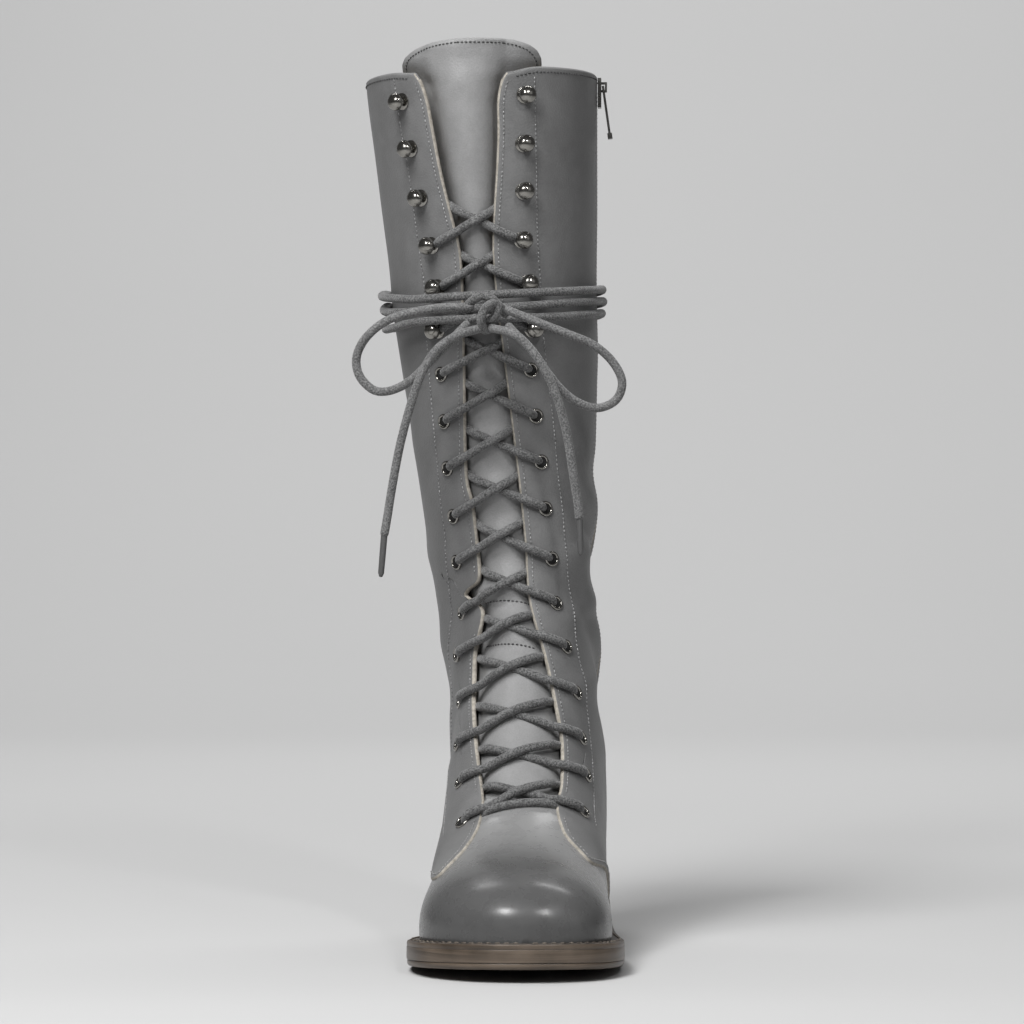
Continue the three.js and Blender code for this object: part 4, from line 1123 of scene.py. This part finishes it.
def lathe(name, profile, sides, finish):
    """A circle drawn up ring by ring to a turned shape, given in millimetres."""
    bpy.ops.object.select_all(action="DESELECT")
    profile = in_metres(profile)
    radius, low = profile[0]
    bpy.ops.mesh.primitive_circle_add(vertices=sides, radius=radius, location=(0, 0, 0))
    model = bpy.context.object
    model.name = name
    bpy.ops.object.mode_set(mode="EDIT")
    bpy.ops.mesh.select_all(action="SELECT")
    bpy.ops.transform.translate(value=(0, 0, low))
    for next_radius, z in profile[1:]:
        bpy.ops.mesh.extrude_region_move(TRANSFORM_OT_translate={"value": (0, 0, z - low)})
        share = next_radius / radius
        bpy.ops.transform.resize(value=(share, share, 1), center_override=(0, 0, z))
        radius, low = next_radius, z
    bpy.ops.mesh.edge_face_add()
    bpy.ops.mesh.select_all(action="SELECT")
    bpy.ops.mesh.normals_make_consistent(inside=False)
    bpy.ops.object.mode_set(mode="OBJECT")
    bpy.ops.object.shade_smooth_by_angle(angle=math.radians(50))
    model.data.materials.clear()
    model.data.materials.append(finish.material)
    return model


def fit_rows(model, table, kind, word):
    """Stands a copy of the model on the quarters at each place of the table, seen from the front."""
    for row, (ox, oz, ix, iz) in enumerate(table):
        for side, x, z in (("outer", ox, oz), ("inner", ix, iz)):
            node = f"{kind}_{row + 1:02d}_{side}"
            a = front_turn(x, z)
            point, normal = skin(ring_of(a, z), a, QUARTER_STEP + 0.2)
            upright = Vector(normal).to_track_quat("Z", "Y").to_matrix().to_4x4()
            piece = bpy.data.objects.new(word + node, model.data.copy())
            piece.data.transform(Matrix.Translation(Vector(point)) @ upright)
            scene.collection.objects.link(piece)
            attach(piece, "boot")
            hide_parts(node)
    bpy.data.objects.remove(model)


EYELET_PROFILE = [
    (3.7, -0.5), (3.85, 0.1), (3.8, 0.5), (3.5, 0.85), (3.15, 0.95), (2.75, 0.8), (2.5, 0.45), (2.4, 0.1),
]
# Painted shade: a near-black, rough finish for the flat disc that closes each eyelet's bore.
bore_shade = Finish("eyelet_bore_painted_shade", (0.01, 0.01, 0.01), 0.9)
eyelet_model = lathe("eyelet_model", EYELET_PROFILE, 28, nickel)
eyelet_model.data.materials.append(bore_shade.material)
for polygon in eyelet_model.data.polygons:
    if len(polygon.vertices) > 4:
        polygon.material_index = 1
fit_rows(eyelet_model, EYELETS, "eyelet", "ring_")


# Speed hooks: nickel studs with a domed head on a neck, six on each side above the eyelets.
HOOK_PROFILE = [
    (4.2, 0), (4.2, 0.4), (3.4, 0.8), (1.9, 1.2), (1.55, 2.2), (1.6, 3.6), (2.6, 4.2), (3.9, 4), (4.4, 4.4),
    (4.45, 5), (4.2, 6), (3.5, 7), (2.4, 7.8), (1.2, 8.2), (0.4, 8.3),
]
fit_rows(lathe("hook_model", HOOK_PROFILE, 28, nickel), HOOKS, "hook", "stud_")


# The laced strands: each leaves an eyelet over the facing, crosses the throat and goes in under the
# other facing to the row above. The strand from the outer side lies on top.
def strand(start, end, rise, bow=0.0):
    """From an eyelet or hook at start to under the other facing, towards end."""
    side = 1 if end[0] > start[0] else -1
    share = np.linspace(0, 1, 60)
    x = start[0] + (end[0] - start[0]) * share
    z = start[1] + (end[1] - start[1]) * share + bow * np.sin(np.pi * share)
    keep = (x - throat_x(side, z)) * side < 7
    x, z = x[keep], z[keep]
    near_edge, far_edge = throat_x(-side, z), throat_x(side, z)
    past = (x - far_edge) * side
    before = (near_edge - x) * side
    middle = (near_edge + far_edge) / 2
    span = np.abs(far_edge - near_edge) / 2
    hump = np.exp(-((x - middle) / (0.55 * span)) ** 2)
    over_facing = QUARTER_STEP + 2.4
    across = 1.3 + rise * hump
    blend = ease(-before, -1.5, 5.0)
    offset = over_facing * (1 - blend) + across * blend
    dive = ease(past, -6.5, 0.5)
    offset = offset * (1 - dive) - 2.9 * dive
    from_hole = np.hypot(x - start[0], z - start[1])
    offset = offset - (over_facing + 1.0) * (1 - ease(from_hole, -0.8, 3.6))
    a = front_turn(x, z)
    return skin(ring_of(a, z), a, offset)[0]


laced = [(x1 + 1.5, z1, x2 - 1.5, z2) for x1, z1, x2, z2 in HOOKS[3:]]
laced += [(x1 + 0.3, z1 + 0.3, x2 - 0.3, z2 + 0.3) for x1, z1, x2, z2 in EYELETS]
strands = []
for row in range(1, len(laced)):
    ox, oz, ix, iz = laced[row]
    up_ox, up_oz, up_ix, up_iz = laced[row - 1]
    bow = 3.2 * ease(-oz, -183, -103)
    strands.append(strand((ox, oz), (up_ix, up_iz), 2.6, bow=bow))
    strands.append(strand((ix, iz), (up_ox, up_oz), -0.9, bow=bow))
top_ox, top_oz, top_ix, top_iz = laced[0]
strands.append(strand((top_ox, top_oz), (top_ix, top_iz + 22), 2.6))
strands.append(strand((top_ix, top_iz), (top_ox, top_oz + 22), -0.9))
low_ox, low_oz, low_ix, low_iz = laced[-1]
bar_x = np.linspace(low_ox, low_ix, 60)
bar_z = low_oz + (low_iz - low_oz) * np.linspace(0, 1, 60) + 6.5 * np.sin(np.linspace(0, np.pi, 60)) ** 0.8
bar_a = front_turn(bar_x, bar_z)
bar_in = np.minimum(bar_x - throat_x(-1, bar_z), throat_x(1, bar_z) - bar_x)
bar_offset = -3.2 + 4.4 * ease(bar_in, -3.0, 4.0)
strands.append(skin(ring_of(bar_a, bar_z), bar_a, bar_offset)[0])
crossings = cord_piece("laced_strands", [smooth_line(line[::3], 1.8 * MM) for line in strands], shaded_lace)
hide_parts("lace_crossings")


# Three turns of the lace go round the shaft, over the hooks, and each is closed on itself.
WRAPS = [
    [(0.0, 328), (0.14, 324.5), (0.25, 322.5), (0.36, 321), (0.5, 326), (0.75, 327)],
    [(0.0, 322), (0.14, 319), (0.22, 316.5), (0.33, 315.5), (0.42, 315.5), (0.5, 320), (0.75, 321)],
    [(0.0, 316), (0.10, 313.5), (0.18, 311.3), (0.28, 311), (0.36, 310.5), (0.42, 307.5), (0.5, 308.5),
     (0.75, 315)],
]
for number, table in enumerate(WRAPS):
    a = np.linspace(0, 1, 220, endpoint=False)
    knots = np.array(table)
    z = np.interp(a, knots[:, 0], knots[:, 1], period=1.0)
    window = np.hanning(21)[1:-1]
    z = np.convolve(np.pad(z, 9, mode="wrap"), window / window.sum(), mode="valid")
    front = ease(np.cos(2 * np.pi * (a - 0.27)), 0.1, 0.6)
    offset = (QUARTER_STEP + 2.9) * (1 - front) + 9.6 * front
    offset = offset + 0.5 * np.sin(2 * np.pi * (a * 3 + number * 0.37)) * (1 - front)
    line, _ = skin(ring_of(a, z, 15), a, offset)
    wrap = cord_piece(f"turn_{number + 1}", [line], shaded_lace, closed=True)
    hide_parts(f"lace_wrap_{number + 1}")


# The zip on the inner side: a woven tape sewn behind the slot, two rows of nickel teeth, and a
# slider whose pull turns on a pin.
tape = Finish("zip_tape_weave", (0.09, 0.09, 0.088), 0.85)
weave = (tape.place.axis("Z") * 9000).sine() * (tape.place.axis("Y") * 9000).sine()
tape.set("Base Color", weave.step(-0.8, 0.8).mix(shade(0.06), shade(0.12)))
tape.bump(weave, 0.0002, 0.5)
zip_u = ring_of(np.zeros(140), np.linspace(99, 427.5, 140), 7)
tape_a = np.linspace(-7, 7, 9)[None] / turn_width(zip_u, 0)[:, None]
tape_skin = skin(zip_u[:, None] + 0 * tape_a, tape_a, -2.0)
tape_piece = grid_sheet("woven_tape", *tape_skin, 0.8 * MM, [tape, tape, tape], "zip_tape")
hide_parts("zip_tape")

TEETH_LOW, TEETH_HIGH, TEETH_PITCH = 101, 420, 2.4
TOOTH_FACES = [(0, 1, 2, 3), (7, 6, 5, 4), (0, 4, 5, 1), (1, 5, 6, 2), (2, 6, 7, 3), (3, 7, 4, 0)]
tooth_points, tooth_faces = [], []
for number in range(int((TEETH_HIGH - TEETH_LOW) / TEETH_PITCH)):
    z = TEETH_LOW + TEETH_PITCH * number
    for side in (-1, 1):
        u = ring_of(0, z + (TEETH_PITCH / 2 if side > 0 else 0), 7)
        point, normal = skin(u, 0, -1.3)
        ahead = unit(form(u + 0.05, 0) - form(u - 0.05, 0))
        wide_way = np.cross(ahead, normal)
        base = len(tooth_points)
        for out_by in (-0.7, 0.7):
            for x, y in ((-0.35, -0.5), (2.0, -0.75), (2.0, 0.75), (-0.35, 0.5)):
                thick = out_by * (0.75 if x > 0 else 1)
                tooth_points.append(point + (wide_way * side * x + ahead * y + normal * thick) * MM)
        for quad in TOOTH_FACES:
            tooth_faces.append(tuple(base + k for k in quad[::side]))
zip_metal = Finish("zip_metal", (0.16, 0.157, 0.15), 0.3, 1.0)
zip_metal.set("Roughness", zip_metal.place.noise(400, 2) * 0.2 + 0.2)
teeth = new_piece("zip_teeth_rows", tooth_points, tooth_faces, [zip_metal], "nickel", smooth=False)
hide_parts("zip_teeth")
for name, finish in (("zip_slider", zip_metal), ("zip_pull", zip_metal), ("insole", lining)):
    node = bpy.data.objects[name]
    node.data.materials.clear()
    node.data.materials.append(finish.material)
